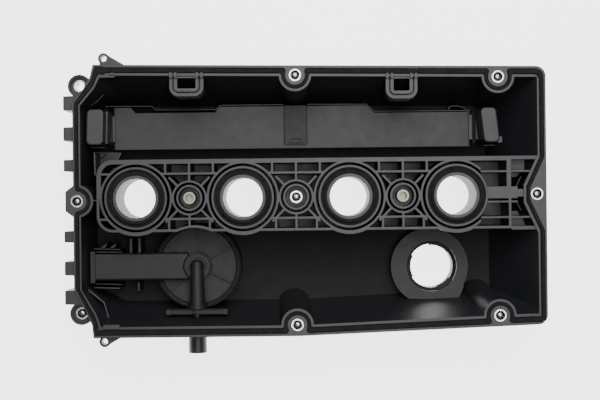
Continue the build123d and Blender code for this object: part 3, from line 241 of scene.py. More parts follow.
def bright_metal(name, dark, pale, rough):
    """Turned or drawn metal: bright, with faint stains and fine tool marks."""
    material, tree, shader, place = new_material(name, {"Metallic": 1.0})
    # Oil stains are about 3.5 mm wide
    stain_size = {"Vector": place, "Scale": 1 / STAIN_WIDTH, "Detail": 4.0, "Roughness": LAYERS}
    stain = add_node(tree, "ShaderNodeTexNoise", stain_size).outputs["Fac"]
    stained = {"Value": stain, "From Min": NOISE_LOW, "From Max": NOISE_HIGH}
    dulled = add_node(tree, "ShaderNodeMapRange", stained)
    metal = {FACTOR: dulled.outputs["Result"], FIRST: dark, SECOND: pale}
    colour = add_node(tree, "ShaderNodeMix", metal, data_type="RGBA")
    duller = {**stained, "To Min": rough - 0.05, "To Max": rough + 0.1}
    sheen = add_node(tree, "ShaderNodeMapRange", duller)
    # Tool marks are about 0.1 mm apart; drawn at 0.5 mm so that they show
    mark_size = {"Vector": place, "Scale": 1 / MARK_WIDTH, "Detail": 2.0, "Roughness": LAYERS}
    marks = add_node(tree, "ShaderNodeTexNoise", mark_size)
    soft = add_node(tree, "ShaderNodeBevel", {"Radius": METAL_EDGE * MM}, samples=4)
    relief = {
        "Height": marks.outputs["Fac"],
        "Distance": MARK_DEPTH * MM,
        "Strength": 1.0,
        "Normal": soft.outputs["Normal"],
    }
    bump = add_node(tree, "ShaderNodeBump", relief)
    finish = {
        "Base Color": colour.outputs[MIXED],
        "Roughness": sheen.outputs["Result"],
        "Normal": bump.outputs["Normal"],
    }
    connect(tree, shader, finish)
    return material


# Finishes that the trim shares with the solids
materials = {}

# Places and heights are in millimetres, from the joint plane and the middle of the plug row
WELD = 0.001
WELL_PITCH = 86.0
LEDGE_FOOT = -71.0
CLIP_FOOT = -48.2
CLIP_TOP = -43.5
CLIP_MIDDLE = -44.0
# Foot of the dark strips of painted shade along the clips
SHADE_STRIP_FOOT = -45.0
BAY_FLOOR = -40.0
SEPARATOR = (-82.3, -56.3)
CHAMBER_TOP = -38.0
# Middle, half width and wall height along Y of the two pockets on the upper wall
POCKETS = [(-87.4, 13.8, 97.8), (85.7, 12.85, 95.7)]
# Middles of the two corner lugs and the height of the rim on each
LUGS = [(-174.2, 91.2, -4.2), (-174.2, -92.4, -4.4)]

# Middles of the captive bolts and the height of the sleeve round each
BOLTS = [
    (0.0, 97.9, 0.0),
    (163.0, 94.8, 0.0),
    (0.0, -102.9, 0.0),
    (163.0, -97.0, 0.0),
    (-176.3, -1.8, 0.0),
    (193.5, 0.4, 0.0),
    (0.0, 0.0, -1.2),
    (-174.2, -92.4, -7.3),
]


def finish_nodes(material, *nodes):
    """Gives the material to every slot of these CAD nodes."""
    for node in nodes:
        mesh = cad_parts[node].data
        for i in range(len(mesh.materials)):
            mesh.materials[i] = material
        if not mesh.materials:
            mesh.materials.append(material)


class CoverFinishes(bpy.types.PropertyGroup):
    """Colours and sheen of the cover's surfaces."""

    nylon: FloatVectorProperty(
        name="Nylon", description="Black moulding of the cover",
        subtype="COLOR", size=4, min=0.0, max=1.0, default=linear("222327"),
    )
    nylon_clouds: FloatVectorProperty(
        name="Nylon clouds", description="Flow clouds in the black moulding",
        subtype="COLOR", size=4, min=0.0, max=1.0, default=linear("26272b"),
    )
    # Painted shade: the colour that the shell's floors darken to towards the bottom
    nylon_painted_shade: FloatVectorProperty(
        name="Nylon floors", description="Black moulding at the bottom of the bays",
        subtype="COLOR", size=4, min=0.0, max=1.0, default=linear("1a1a1c"),
    )
    # Painted light: the colour that the shell's faces near the joint turn paler to
    nylon_painted_light: FloatVectorProperty(
        name="Nylon joint", description="Black moulding near the joint face",
        subtype="COLOR", size=4, min=0.0, max=1.0, default=linear("333438"),
    )
    nylon_roughness: FloatProperty(
        name="Nylon roughness", description="Roughness of the black moulding",
        subtype="FACTOR", min=0.2, max=0.8, default=0.45,
    )
    baffle: FloatVectorProperty(
        name="Baffle", description="Moulding of the oil baffle",
        subtype="COLOR", size=4, min=0.0, max=1.0, default=linear("252428"),
    )
    baffle_clouds: FloatVectorProperty(
        name="Baffle clouds", description="Flow clouds in the baffle",
        subtype="COLOR", size=4, min=0.0, max=1.0, default=linear("28272c"),
    )
    clips: FloatVectorProperty(
        name="Clips", description="Moulding of the baffle's end clips",
        subtype="COLOR", size=4, min=0.0, max=1.0, default=linear("303034"),
    )
    clips_clouds: FloatVectorProperty(
        name="Clip clouds", description="Flow clouds in the end clips",
        subtype="COLOR", size=4, min=0.0, max=1.0, default=linear("343438"),
    )
    # Painted shade: this colour and its clouds are darker than the shell's nylon, for the deep
    # separator and middle clip
    separator: FloatVectorProperty(
        name="Separator", description="Moulding of the separator and of the middle clip",
        subtype="COLOR", size=4, min=0.0, max=1.0, default=linear("151619"),
    )
    separator_clouds: FloatVectorProperty(
        name="Separator clouds", description="Flow clouds in the separator",
        subtype="COLOR", size=4, min=0.0, max=1.0, default=linear("191a1d"),
    )
    rubber: FloatVectorProperty(
        name="Rubber", description="Rubber of the gasket and seals",
        subtype="COLOR", size=4, min=0.0, max=1.0, default=linear("060607"),
    )
    rubber_dust: FloatVectorProperty(
        name="Rubber dust", description="Dusty patches on the rubber",
        subtype="COLOR", size=4, min=0.0, max=1.0, default=linear("0c0c0d"),
    )


class TrimSizes(bpy.types.PropertyGroup):
    """Sizes of the small moulded detail."""

    nylon_edge: FloatProperty(
        name="Nylon edge", description="Rounding drawn on the moulded edges",
        unit="LENGTH", min=0.0, default=0.5 * MM,
    )
    trim_edge: FloatProperty(
        name="Trim edge", description="Rounding of the trim's own edges",
        unit="LENGTH", min=0.0, default=0.25 * MM,
    )
    ledge_width: FloatProperty(
        name="Ledge width", description="Thickness of the ledge along the baffle",
        unit="LENGTH", min=0.2 * MM, default=1.0 * MM,
    )
    bridge_width: FloatProperty(
        name="Bridge width", description="Thickness of the pocket walls on the lip",
        unit="LENGTH", min=0.2 * MM, default=2.5 * MM,
    )


class StudioSettings(bpy.types.PropertyGroup):
    """Where the camera stands and how strong the lights are."""

    camera_height: FloatProperty(
        name="Camera height", description="Camera above the joint plane",
        unit="LENGTH", min=0.2, default=1.0,
    )
    key: FloatProperty(
        name="Key", description="Power of the big softbox behind the upper bank",
        unit="POWER", min=0.0, default=18.0,
    )
    key_place: FloatVectorProperty(
        name="Key place", description="Middle of the big softbox",
        subtype="XYZ", unit="LENGTH", size=3, default=(0.08, 0.82, 1.38),
    )
    key_size: FloatVectorProperty(
        name="Key size", description="Width and depth of the big softbox",
        unit="LENGTH", size=2, min=0.01, default=(1.4, 0.8),
    )
    overhead: FloatProperty(
        name="Overhead", description="Power of the weak softbox above the camera",
        unit="POWER", min=0.0, default=13.0,
    )
    overhead_place: FloatVectorProperty(
        name="Overhead place", description="Middle of the weak softbox",
        subtype="XYZ", unit="LENGTH", size=3, default=(0.14, 0.05, 1.6),
    )
    overhead_size: FloatVectorProperty(
        name="Overhead size", description="Width and depth of the weak softbox",
        unit="LENGTH", size=2, min=0.01, default=(0.9, 0.6),
    )
    sheet_glow: FloatProperty(
        name="Sheet glow", description="Light that the table's sheet gives off",
        min=0.0, default=3.2,
    )
    sky: FloatProperty(
        name="Sky", description="Strength of the room's even light",
        min=0.0, default=0.07,
    )


class COVER_OT_finish_mouldings(bpy.types.Operator):
    """Gives the moulded pieces their nylon"""

    bl_idname = "cover.finish_mouldings"
    bl_label = "Moulded nylon"

    def execute(self, context):
        colours = context.scene.cover_finishes
        edge = context.scene.cover_sizes.nylon_edge
        # Glass-filled nylon from a spark-eroded mould: near black, with a satin sheen, painted
        # shade on its floors and painted light on its joint face
        black = moulded_nylon(
            "nylon_glass_filled_moulded", colours.nylon, colours.nylon_clouds,
            colours.nylon_roughness, edge, colours.nylon_painted_shade, colours.nylon_painted_light,
        )
        finish_nodes(black, "cover_shell", "breather_cap")
        # Nylon from a smoother mould: a grey black, flatter than the shell
        grey = moulded_nylon(
            "nylon_baffle_moulded", colours.baffle, colours.baffle_clouds, 0.55, edge
        )
        finish_nodes(grey, "baffle_plate")
        # Nylon with less black in it: the palest of the mouldings
        pale = moulded_nylon("nylon_clip_moulded", colours.clips, colours.clips_clouds, 0.5, edge)
        finish_nodes(pale, "baffle_clip_left", "baffle_clip_right")
        # Dull black nylon, darker than the shell's as painted shade deep in the cover: its ribs
        # show by their edges alone
        dark = moulded_nylon(
            "nylon_separator_moulded", colours.separator, colours.separator_clouds, 0.6, edge
        )
        separator = ["separator_disc", "inlet_duct", "outlet_tube", "outlet_bracket"]
        finish_nodes(dark, "baffle_clip_middle", *separator)
        # Acetal as it leaves the mould: waxy off-white
        white = moulded_nylon("acetal_moulded", linear("c4c3bc"), linear("d6d5cf"), 0.4, edge)
        finish_nodes(white, "diaphragm_plate")
        materials.update(black=black, grey=grey, pale=pale, dark=dark)
        return {"FINISHED"}


class COVER_OT_finish_rubber(bpy.types.Operator):
    """Gives the gasket, the well seals and the diaphragm their rubber"""

    bl_idname = "cover.finish_rubber"
    bl_label = "Moulded rubber"

    def execute(self, context):
        colours = context.scene.cover_finishes
        # Rubber from a blasted mould: the deepest black, hardly shining
        rubber = soft_rubber("rubber_gasket_moulded", colours.rubber, colours.rubber_dust, 0.85)
        seals = [f"plug_well_seal_{i}" for i in range(1, 5)]
        finish_nodes(rubber, "perimeter_gasket", "breather_diaphragm", *seals)
        materials.update(rubber=rubber)
        return {"FINISHED"}


class COVER_OT_finish_metal(bpy.types.Operator):
    """Gives the sleeves, bolts, inserts and spring their metal"""

    bl_idname = "cover.finish_metal"
    bl_label = "Turned and plated steel"

    def execute(self, context):
        # Turned steel: white and bright
        bright = bright_metal("steel_turned", linear("cfcfca"), linear("ecece8"), 0.3)
        finish_nodes(bright, "bolt_sleeves")
        # Zinc plated steel: a little bluer and greyer
        zinc = bright_metal("steel_zinc_plated", linear("b8bbbe"), linear("dcdee0"), 0.32)
        finish_nodes(zinc, "cover_bolts", "diaphragm_spring")
        # Olive passivated steel: dull grey-green
        olive = bright_metal("steel_olive_passivated", linear("6f7468"), linear("979c8e"), 0.42)
        finish_nodes(olive, "coil_inserts")
        # Blackened steel: dark, with a weak glint on its edges
        dark = bright_metal("steel_blackened", linear("3c3c3c"), linear("5a5a5a"), 0.4)
        finish_nodes(dark, "ear_sleeves")
        materials.update(zinc=zinc)
        return {"FINISHED"}


def prism(bm, outline, low, high):
    """Upright solid over an outline in millimetres, from low to high."""
    rings = [[bm.verts.new((x * MM, y * MM, z * MM)) for x, y in outline] for z in (low, high)]
    bm.faces.new(list(reversed(rings[0])))
    bm.faces.new(rings[1])
    count = len(outline)
    for i in range(count):
        j = (i + 1) % count
        bm.faces.new((rings[0][i], rings[0][j], rings[1][j], rings[1][i]))


def block(bm, x, y, low, high):
    """Upright block between the two ends of x and the two ends of y."""
    prism(bm, [(x[0], y[0]), (x[1], y[0]), (x[1], y[1]), (x[0], y[1])], low, high)


def strip_outline(path, width):
    """Outline of a strip of that width along a path, with mitred corners."""
    sides = ([], [])
    points = [Vector(p) for p in path]
    for i, point in enumerate(points):
        before = (point - points[i - 1]).normalized() if i else None
        after = (points[i + 1] - point).normalized() if i + 1 < len(points) else None
        along = ((before or after) + (after or before)).normalized()
        across = Vector((-along.y, along.x))
        # A mitre at a sharp corner is cut short, so that it doesn't reach far out
        stretch = 1 / max(0.4, along.dot(after or before))
        for side, sign in zip(sides, (1, -1)):
            side.append(point + across * sign * width * stretch / 2)
    return [tuple(p) for p in sides[1] + list(reversed(sides[0]))]


def rib(bm, path, width, low, high):
    """Upright rib along a path."""
    prism(bm, strip_outline(path, width), low, high)


def ribs(bm, rows):
    """Upright ribs, each given by its path, width, foot and top."""
    for path, width, low, high in rows:
        rib(bm, path, width, low, high)


def arc(centre, radius, start, end, steps=24):
    """Points on a circle from start to end degrees."""
    angles = [math.radians(start + (end - start) * i / steps) for i in range(steps + 1)]
    return [(centre[0] + radius * math.cos(a), centre[1] + radius * math.sin(a)) for a in angles]


def turned(bm, centre, profile, segments=32):
    """Solid turned about an upright axis; profile is (radius, height) from its top to its foot."""
    circles = []
    for radius, height in profile:
        if radius == 0:
            circles.append([bm.verts.new((centre[0] * MM, centre[1] * MM, height * MM))])
            continue
        circle = []
        for i in range(segments):
            a = 2 * math.pi * i / segments
            place = (centre[0] + radius * math.cos(a), centre[1] + radius * math.sin(a), height)
            circle.append(bm.verts.new([v * MM for v in place]))
        circles.append(circle)
    for upper, lower in zip(circles, circles[1:]):
        for i in range(segments):
            j = (i + 1) % segments
            if len(upper) == 1:
                bm.faces.new((upper[0], lower[i], lower[j]))
            elif len(lower) == 1:
                bm.faces.new((upper[j], upper[i], lower[0]))
            else:
                bm.faces.new((upper[j], upper[i], lower[i], lower[j]))


def ring(bm, centre, inner, outer, low, high):
    """Upright ring from inner to outer radius."""
    section = [(outer, high), (inner, high), (inner, low), (outer, low), (outer, high)]
    turned(bm, centre, section, 96)


def gasket_line(x, side):
    """Height along Y of the gasket's middle at x, on the upper (1) or lower (-1) edge."""
    if side > 0:
        return 103.4 - 4.8 * (x + 179.2) / 380.4
    return -107.5 + max(0.0, x - 2.0) * 7.2 / 190.0


def piece(name, bm, material, edge=0.0):
    """Makes the mesh an object of the part that rides on the cover, its edges rounded by edge."""
    bmesh.ops.remove_doubles(bm, verts=bm.verts, dist=WELD * MM)
    bmesh.ops.recalc_face_normals(bm, faces=bm.faces)
    mesh = bpy.data.meshes.new(name)
    bm.to_mesh(mesh)
    bm.free()
    mesh.materials.append(material)
    made = bpy.data.objects.new(name, mesh)
    bpy.context.scene.collection.objects.link(made)
    sharp = math.radians(40)
    if edge:
        bevel = made.modifiers.new("rounded_edges", "BEVEL")
        bevel.width = edge
        bevel.segments = 2
        bevel.limit_method = "ANGLE"
        bevel.angle_limit = sharp
    mesh.shade_smooth()
    mesh.set_sharp_from_angle(angle=sharp)
    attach(made, BODY)
    return made


class COVER_OT_baffle_ledge(bpy.types.Operator):
    """Moulded ledge that follows the baffle's upper edge, with a low arch near its right end"""

    bl_idname = "cover.baffle_ledge"
    bl_label = "Baffle ledge"

    def execute(self, context):
        sizes = context.scene.cover_sizes
        width = sizes.ledge_width / MM
        left = [
            (-159.7, 77.6), (-120.6, 77.4), (-117.2, 74.2),
            (-66.6, 74.0), (-62.8, 77.5), (-9.7, 77.6),
        ]
        right = [(9.7, 77.6), (59.6, 77.2), (65.6, 71.2), (144.1, 71.0)]
        arch = [(127.9, 71.6), (129.6, 74.5), (134.6, 75.0), (139.7, 74.0), (144.1, 71.4)]
        bm = bmesh.new()
        for path, top in ((left, -44.6), (right, -44.6), (arch, -44.2)):
            rib(bm, path, width, LEDGE_FOOT, top)
        piece("baffle_ledge", bm, materials["black"], sizes.trim_edge)
        return {"FINISHED"}


class COVER_OT_corner_ridges(bpy.types.Operator):
    """Ridges in the two left corners"""

    bl_idname = "cover.corner_ridges"
    bl_label = "Corner ridges"

    def execute(self, context):
        upper = [(-156.6, 93.8), (-157.2, 87.6), (-164.4, 80.5), (-169.6, 76.6)]
        lower = [(-172.3, -73.6), (-158.5, -84.9), (-154.6, -97.6)]
        bm = bmesh.new()
        ribs(bm, [(upper, 0.9, -60.0, -30.0), (lower, 1.6, -60.0, -20.0)])
        edge = context.scene.cover_sizes.trim_edge
        piece("corner_ridges", bm, materials["black"], edge)
        return {"FINISHED"}


class COVER_OT_separator_trim(bpy.types.Operator):
    """Shelves, teeth and posts round the separator's duct"""

    bl_idname = "cover.separator_trim"
    bl_label = "Separator trim"

    def execute(self, context):
        shelves = [
            ([(-168.7, -41.3), (-146.4, -42.1)], 1.1, -60.0, -32.0),
            ([(-168.6, -43.9), (-144.9, -44.4)], 1.0, -60.0, -33.5),
            ([(-168.4, -73.4), (-146.8, -74.3)], 1.2, -62.0, -32.0),
            ([(-167.7, -70.4), (-145.6, -71.2)], 1.0, -62.0, -33.5),
        ]
        bm = bmesh.new()
        ribs(bm, shelves)
        for x in (-160.4, -152.6):
            tooth = [(x - 3.6, -40.8), (x + 1.2, -40.8), (x + 3.4, -36.4), (x + 0.6, -38.2)]
            prism(bm, tooth, -60.0, -34.0)
        for x in (-138.4, -131.2):
            block(bm, (x - 1.2, x + 1.2), (-46.9, -32.8), -67.0, -38.0)
        block(bm, (-133.4, -131.6), (-77.2, -69.6), -67.0, -40.0)
        edge = context.scene.cover_sizes.trim_edge
        piece("separator_trim", bm, materials["black"], edge)
        return {"FINISHED"}


class COVER_OT_clip_trim(bpy.types.Operator):
    """Feet of the baffle's end clips, rims of its middle clip and its ends, and dark strips of
    painted shade
    """

    bl_idname = "cover.clip_trim"
    bl_label = "Clip trim"

    def execute(self, context):
        edge = context.scene.cover_sizes.trim_edge
        left_foot = [(-156.8, 45.2), (-155.0, 45.2), (-154.4, 72.0), (-156.4, 72.0)]
        right_foot = [(164.4, 42.2), (168.4, 42.4), (168.2, 47.4), (165.2, 47.9)]
        edges = [
            ([(154.4, 40.6), (163.8, 40.8)], 0.9, CLIP_FOOT, -22.0),
            ([(-168.4, 42.2), (-157.2, 42.4)], 0.9, CLIP_FOOT, -24.0),
        ]
        bm = bmesh.new()
        prism(bm, left_foot, CLIP_FOOT, -25.0)
        prism(bm, right_foot, CLIP_FOOT, -14.0)
        ribs(bm, edges)
        piece("clip_feet", bm, materials["pale"], edge)
        rims = [
            ([(-9.3, 45.0), (-9.3, 76.0)], 0.7, CLIP_MIDDLE, CLIP_TOP + 0.5),
            ([(9.3, 45.0), (9.3, 76.0)], 0.7, CLIP_MIDDLE, CLIP_TOP + 0.5),
            ([(-5.6, 46.2), (5.6, 46.2)], 1.0, CLIP_MIDDLE, CLIP_TOP + 0.7),
        ]
        bm = bmesh.new()
        ribs(bm, rims)
        piece("middle_clip_rims", bm, materials["grey"], edge)
        # Painted shade: dark rubber strips where the photograph is dark along both clips; rubber is
        # a guess
        strips = [
            ([(149.3, 43.2), (149.3, 69.6)], 3.0, SHADE_STRIP_FOOT, CLIP_TOP + 0.25),
            ([(-153.9, 44.6), (-153.9, 71.6)], 1.2, SHADE_STRIP_FOOT, CLIP_TOP + 0.25),
        ]
        bm = bmesh.new()
        ribs(bm, strips)
        piece("clip_shade_strips", bm, materials["rubber"], edge)
        plate_ends = [
            ([(-151.8, 41.6), (-151.8, 75.6)], 0.8, -46.2, -45.1),
            ([(145.4, 41.6), (145.4, 70.0)], 0.8, -46.2, -45.1),
        ]
        bm = bmesh.new()
        ribs(bm, plate_ends)
        piece("plate_end_rims", bm, materials["grey"], edge)
        return {"FINISHED"}


class COVER_OT_corner_platform(bpy.types.Operator):
    """Low platform at the channel's rounded corner, its edges and the rib to the left pad"""

    bl_idname = "cover.corner_platform"
    bl_label = "Corner platform"

    def execute(self, context):
        platform = [
            (-167.4, 39.9), (-146.0, 38.7), (-150.0, 30.4),
            (-159.0, 24.9), (-160.4, 19.2), (-167.5, 19.2),
        ]
        edges = [
            (arc((-164.0, 38.6), 4.2, 182, 358, 12), 0.7, -46.2, -45.0),
            ([(-165.4, 38.4), (-165.0, 19.0)], 1.6, -52.0, -22.0),
            ([(-166.4, -1.3), (-160.4, -1.3)], 1.0, -24.0, -1.5),
        ]
        bm = bmesh.new()
        prism(bm, platform, -52.0, -46.0)
        ribs(bm, edges)
        edge = context.scene.cover_sizes.trim_edge
        piece("corner_platform", bm, materials["black"], edge)
        return {"FINISHED"}


class COVER_OT_lip_steps(bpy.types.Operator):
    """Blocks and steps on the joint face at the two left corners, and the gasket's tabs"""

    bl_idname = "cover.lip_steps"
    bl_label = "Lip steps"

    def execute(self, context):
        edge = context.scene.cover_sizes.trim_edge
        bm = bmesh.new()
        prism(bm, [(-158.5, 97.2), (-145.4, 97.2), (-142.1, 100.6), (-158.5, 100.6)], -7.0, 0.05)
        block(bm, (-148.9, -144.9), (98.9, 101.3), -1.0, 0.8)
        block(bm, (-156.4, -143.0), (-101.2, -104.9), -5.0, 0.4)
        for x in (-162.0, -159.6, -157.2):
            block(bm, (x - 0.7, x + 0.7), (-105.8, -103.5), -1.0, 0.8)
        for x in (-153.8, -149.0):
            block(bm, (x - 1.6, x + 1.6), (-109.0, -106.2), -1.0, 0.7)
        piece("lip_steps", bm, materials["black"], edge)
        # The photograph is dark here; rubber is a guess
        bm = bmesh.new()
        prism(bm, [(-160.8, 100.4), (-152.8, 99.6), (-152.8, 106.2), (-160.8, 106.6)], -1.0, 1.1)
        block(bm, (-150.2, -145.6), (101.8, 104.0), -1.0, 1.0)
        piece("gasket_corner_tabs", bm, materials["rubber"], edge)
        return {"FINISHED"}


class COVER_OT_pocket_bridges(bpy.types.Operator):
    """Walls of the two pockets carried on over the lip and the gasket"""

    bl_idname = "cover.pocket_bridges"
    bl_label = "Pocket bridges"

    def execute(self, context):
        sizes = context.scene.cover_sizes
        width = sizes.bridge_width / MM
        # How far the middles of the outer and the inner wall lie inside the pocket's side
        insets = (1.35, 5.15)
        bm = bmesh.new()
        for middle, half, wall_y in POCKETS:
            for side in (-1, 1):
                for inset in insets:
                    x = middle + side * (half - inset)
                    rib(bm, [(x, wall_y - 1.5), (x, wall_y + 6.4)], width, -1.2, 1.1)
        piece("pocket_bridges", bm, materials["black"], sizes.trim_edge)
        return {"FINISHED"}


class COVER_OT_end_compartments(bpy.types.Operator):
    """Platforms and struts in the four bays between the channel and the right end wall"""

    bl_idname = "cover.end_compartments"
    bl_label = "End compartments"

    def execute(self, context):
        high, low = (-30.0, -16.0), (-34.0, -22.0)
        platforms = [
            ([(172.6, 28.4), (186.6, 28.4), (186.4, 19.4), (172.6, 19.4)], high),
            ([(172.6, 18.2), (183.4, 18.2), (181.4, 14.2), (172.6, 14.2)], low),
            ([(172.6, -13.2), (181.6, -13.2), (183.4, -17.5), (172.6, -17.5)], low),
            ([(172.6, -18.8), (184.6, -18.8), (186.8, -25.6), (172.6, -25.6)], high),
        ]
        bm = bmesh.new()
        for outline, (foot, top) in platforms:
            prism(bm, outline, foot, top)
        for strut in ([(182.3, 14.6), (178.0, 6.0)], [(178.2, -5.6), (182.2, -13.0)]):
            rib(bm, strut, 0.9, BAY_FLOOR, -9.0)
        edge = context.scene.cover_sizes.trim_edge
        piece("end_compartments", bm, materials["black"], edge)
        return {"FINISHED"}


class COVER_OT_separator_rings(bpy.types.Operator):
    """Rim of the chamber with dark rings of painted shade on both sides, rings of the hub, edges
    and stud of the outlet's bar
    """

    bl_idname = "cover.separator_rings"
    bl_label = "Separator rings"

    def execute(self, context):
        edge = context.scene.cover_sizes.trim_edge
        rim_inner, rim_outer = 33.2, 33.9
        bm = bmesh.new()
        ring(bm, SEPARATOR, rim_inner, rim_outer, CHAMBER_TOP, CHAMBER_TOP + 1.5)
        piece("chamber_rim", bm, materials["black"], edge)
        # Painted shade: dark rubber rings where the photograph is dark on both sides of the rim;
        # rubber is a guess
        bm = bmesh.new()
        for inner, outer in ((31.3, rim_inner), (rim_outer, 35.7)):
            ring(bm, SEPARATOR, inner, outer, CHAMBER_TOP, CHAMBER_TOP + 1.1)
        piece("chamber_shade_rings", bm, materials["rubber"], edge)
        hub_foot = -31.4
        stud = [(0.0, -17.6), (1.1, -17.8), (1.6, -18.6), (1.6, -21.0), (0.0, -21.0)]
        bar_edges = [
            ([(-103.4, -91.7), (-61.2, -91.7)], 0.7, -20.0, -18.4),
            ([(-103.4, -94.8), (-61.2, -94.8)], 0.7, -20.0, -18.6),
        ]
        bm = bmesh.new()
        ring(bm, SEPARATOR, 9.9, 11.2, hub_foot, -29.6)
        rib(bm, arc(SEPARATOR, 6.4, -8, 188, 28), 1.5, hub_foot, -24.6)
        turned(bm, (-85.0, -94.0), stud, 20)
        ribs(bm, bar_edges)
        piece("separator_rings", bm, materials["dark"], edge)
        return {"FINISHED"}


class COVER_OT_seal_nubs(bpy.types.Operator):
    """Small nubs that hold the gasket and the well seals in their grooves"""

    bl_idname = "cover.seal_nubs"
    bl_label = "Seal nubs"

    def execute(self, context):
        gasket_nub = [(0.0, 1.15), (0.7, 1.05), (1.2, 0.6), (1.2, -0.6), (0.0, -0.6)]
        well_nub = [(0.0, -0.9), (0.5, -1.0), (0.8, -1.5), (0.8, -2.6), (0.0, -2.6)]
        nub_pitch = 22
        # The gasket bends round a pocket and round a bolt on an edge, and has no nubs there
        pocket_gap, bend, edge_y = 3, 18, 60
        seal_radius = 22.0
        bm = bmesh.new()
        for x in range(-136, 190, nub_pitch):
            for side in (1, -1):
                pockets = POCKETS if side > 0 else []
                if any(abs(x - middle) < half + pocket_gap for middle, half, _ in pockets):
                    continue
                if any(abs(x - bolt[0]) < bend and side * bolt[1] > edge_y for bolt in BOLTS):
                    continue
                turned(bm, (x, gasket_line(x, side)), gasket_nub, 14)
        for i in range(4):
            centre = ((i - 1.5) * WELL_PITCH, 0.0)
            for place in arc(centre, seal_radius, 40, 400, 6)[:-1]:
                turned(bm, place, well_nub, 12)
        piece("seal_nubs", bm, materials["rubber"])
        return {"FINISHED"}


class COVER_OT_lug_rim(bpy.types.Operator):
    """Raised rims of the two corner lugs on the left"""

    bl_idname = "cover.lug_rim"
    bl_label = "Lug rims"

    def execute(self, context):
        bm = bmesh.new()
        for x, y, top in LUGS:
            ring(bm, (x, y), 8.1, 9.2, -6.0, top)
        edge = context.scene.cover_sizes.trim_edge
        piece("lug_rims", bm, materials["black"], edge)
        return {"FINISHED"}


class COVER_OT_return_spring(bpy.types.Operator):
    """Return spring over the diaphragm's plate: a copy of the CAD spring, which is hidden"""

    bl_idname = "cover.return_spring"
    bl_label = "Return spring"

    def execute(self, context):
        bm = bmesh.new()
        bm.from_mesh(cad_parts["diaphragm_spring"].data)
        spring = piece("return_spring", bm, materials["zinc"])
        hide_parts("diaphragm_spring")
        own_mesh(spring)
        return {"FINISHED"}


class COVER_OT_bolt_points(bpy.types.Operator):
    """Chamfered points of the captive bolts inside their sleeves, and the dark rings round them,
    which are partly painted shade
    """

    bl_idname = "cover.bolt_points"
    bl_label = "Bolt points"

    def execute(self, context):
        # Radius, and depth below the sleeve's top
        point = [(0.0, 0.9), (1.5, 0.9), (2.1, 1.4), (2.1, 3.8), (2.9, 4.1)]
        bm = bmesh.new()
        for x, y, top in BOLTS:
            turned(bm, (x, y), [(radius, top - depth) for radius, depth in point])
        piece("bolt_points", bm, materials["zinc"])
        # Rubber captive rings round each point, which also paint the shade in the gap where the
        # photograph is dark; rubber is a guess
        bm = bmesh.new()
        for x, y, top in BOLTS:
            ring(bm, (x, y), 2.12, 2.95, top - 3.9, top - 1.5)
        piece("captive_shade_rings", bm, materials["rubber"])
        return {"FINISHED"}


def soft_light(name, place, size, power):
    """Rectangular softbox at place, aimed at the middle of the plug row."""
    data = bpy.data.lights.new(name, "AREA")
    data.shape = "RECTANGLE"
    data.size, data.size_y = size
    data.energy = power
    light = bpy.data.objects.new(name, data)
    bpy.context.scene.collection.objects.link(light)
    light.location = place
    light.rotation_euler = (-Vector(place)).to_track_quat("-Z", "Y").to_euler()
    return light


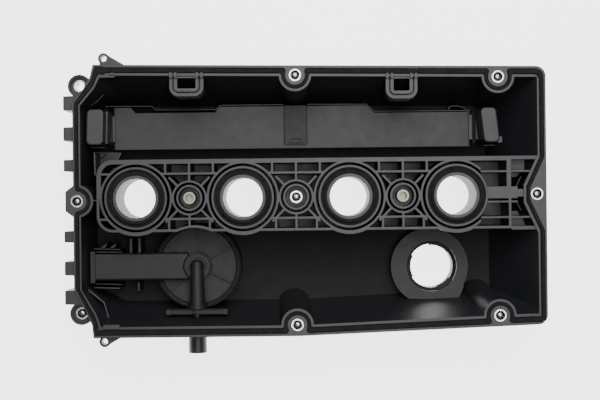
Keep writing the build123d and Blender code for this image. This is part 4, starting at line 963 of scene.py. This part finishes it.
class COVER_OT_stage(bpy.types.Operator):
    """Floor, lights and the camera straight above the open side"""

    bl_idname = "cover.stage"
    bl_label = "Studio"

    def execute(self, context):
        scene = context.scene
        studio = scene.cover_studio
        floor_reach = 4.0
        bm = bmesh.new()
        bmesh.ops.create_grid(bm, x_segments=1, y_segments=1, size=floor_reach)
        mesh = bpy.data.meshes.new("studio_floor")
        bm.to_mesh(mesh)
        bm.free()
        floor = bpy.data.objects.new("studio_floor", mesh)
        floor.location.z = cad_box[0][2]
        scene.collection.objects.link(floor)
        # Acrylic sheet lit from below like a light table, which keeps the through holes white
        glow = {
            "Roughness": 0.9,
            "Emission Color": linear("ffffff"),
            "Emission Strength": studio.sheet_glow,
        }
        material, tree, shader, place = new_material("acrylic_light_table_sheet", glow)
        # Its haze changes over about 400 mm
        haze_size = {"Vector": place, "Scale": 1 / HAZE_WIDTH, "Detail": 2.0, "Roughness": LAYERS}
        haze = add_node(tree, "ShaderNodeTexNoise", haze_size)
        spread = {"Value": haze.outputs["Fac"], "From Min": NOISE_LOW, "From Max": NOISE_HIGH}
        tone = add_node(tree, "ShaderNodeMapRange", spread)
        dim, bright = linear("f6f6f5"), linear("fafafa")
        whites = {FACTOR: tone.outputs["Result"], FIRST: dim, SECOND: bright}
        sheet = add_node(tree, "ShaderNodeMix", whites, data_type="RGBA")
        connect(tree, shader, {"Base Color": sheet.outputs[MIXED]})
        mesh.materials.append(material)

        world = bpy.data.worlds.new("studio_world")
        scene.world = world
        world.use_nodes = True
        world.node_tree.nodes.clear()
        light = {"Color": linear("ffffff"), "Strength": studio.sky}
        sky = add_node(world.node_tree, "ShaderNodeBackground", light)
        add_node(world.node_tree, "ShaderNodeOutputWorld", {"Surface": sky.outputs["Background"]})

        soft_light("softbox_key", studio.key_place, studio.key_size, studio.key)
        soft_light("softbox_overhead", studio.overhead_place, studio.overhead_size, studio.overhead)

        camera_data = bpy.data.cameras.new("studio_camera")
        camera = bpy.data.objects.new("studio_camera", camera_data)
        scene.collection.objects.link(camera)
        # The picture's middle lies 3.0 mm right of and 2.6 mm below the middle of the plug row
        camera.location = (3.0 * MM, -2.6 * MM, studio.camera_height)
        # The object is turned by 0.62 degrees in the picture
        camera.rotation_euler = (0, 0, -0.0108)
        camera_data.sensor_width = 36.0
        # The picture's 600 pixels span 481.8 mm at the joint plane
        picture_width = 0.4818
        camera_data.lens = camera_data.sensor_width * studio.camera_height / picture_width
        scene.camera = camera
        return {"FINISHED"}


OPERATORS = [
    COVER_OT_finish_mouldings,
    COVER_OT_finish_rubber,
    COVER_OT_finish_metal,
    COVER_OT_baffle_ledge,
    COVER_OT_corner_ridges,
    COVER_OT_separator_trim,
    COVER_OT_clip_trim,
    COVER_OT_corner_platform,
    COVER_OT_lip_steps,
    COVER_OT_pocket_bridges,
    COVER_OT_end_compartments,
    COVER_OT_separator_rings,
    COVER_OT_lug_rim,
    COVER_OT_seal_nubs,
    COVER_OT_return_spring,
    COVER_OT_bolt_points,
    COVER_OT_stage,
]
GROUPS = [CoverFinishes, TrimSizes, StudioSettings]


class COVER_PT_panel(bpy.types.Panel):
    """Lists the dressing's steps and settings"""

    bl_idname = "COVER_PT_panel"
    bl_label = "Valve cover"
    bl_space_type = "VIEW_3D"
    bl_region_type = "UI"
    bl_category = "Valve Cover"

    def draw(self, context):
        layout = self.layout
        scene = context.scene
        for settings in (scene.cover_finishes, scene.cover_sizes, scene.cover_studio):
            box = layout.box()
            for name in settings.__annotations__:
                box.prop(settings, name)
        for operator in OPERATORS:
            layout.operator(operator.bl_idname)


def register():
    for entry in GROUPS + OPERATORS + [COVER_PT_panel]:
        bpy.utils.register_class(entry)
    bpy.types.Scene.cover_finishes = PointerProperty(type=CoverFinishes)
    bpy.types.Scene.cover_sizes = PointerProperty(type=TrimSizes)
    bpy.types.Scene.cover_studio = PointerProperty(type=StudioSettings)


def unregister():
    del bpy.types.Scene.cover_studio
    del bpy.types.Scene.cover_sizes
    del bpy.types.Scene.cover_finishes
    for entry in reversed(GROUPS + OPERATORS + [COVER_PT_panel]):
        bpy.utils.unregister_class(entry)


def main():
    register()
    for operator in OPERATORS:
        group, name = operator.bl_idname.split(".")
        getattr(getattr(bpy.ops, group), name)()


if __name__ == "__main__":
    main()
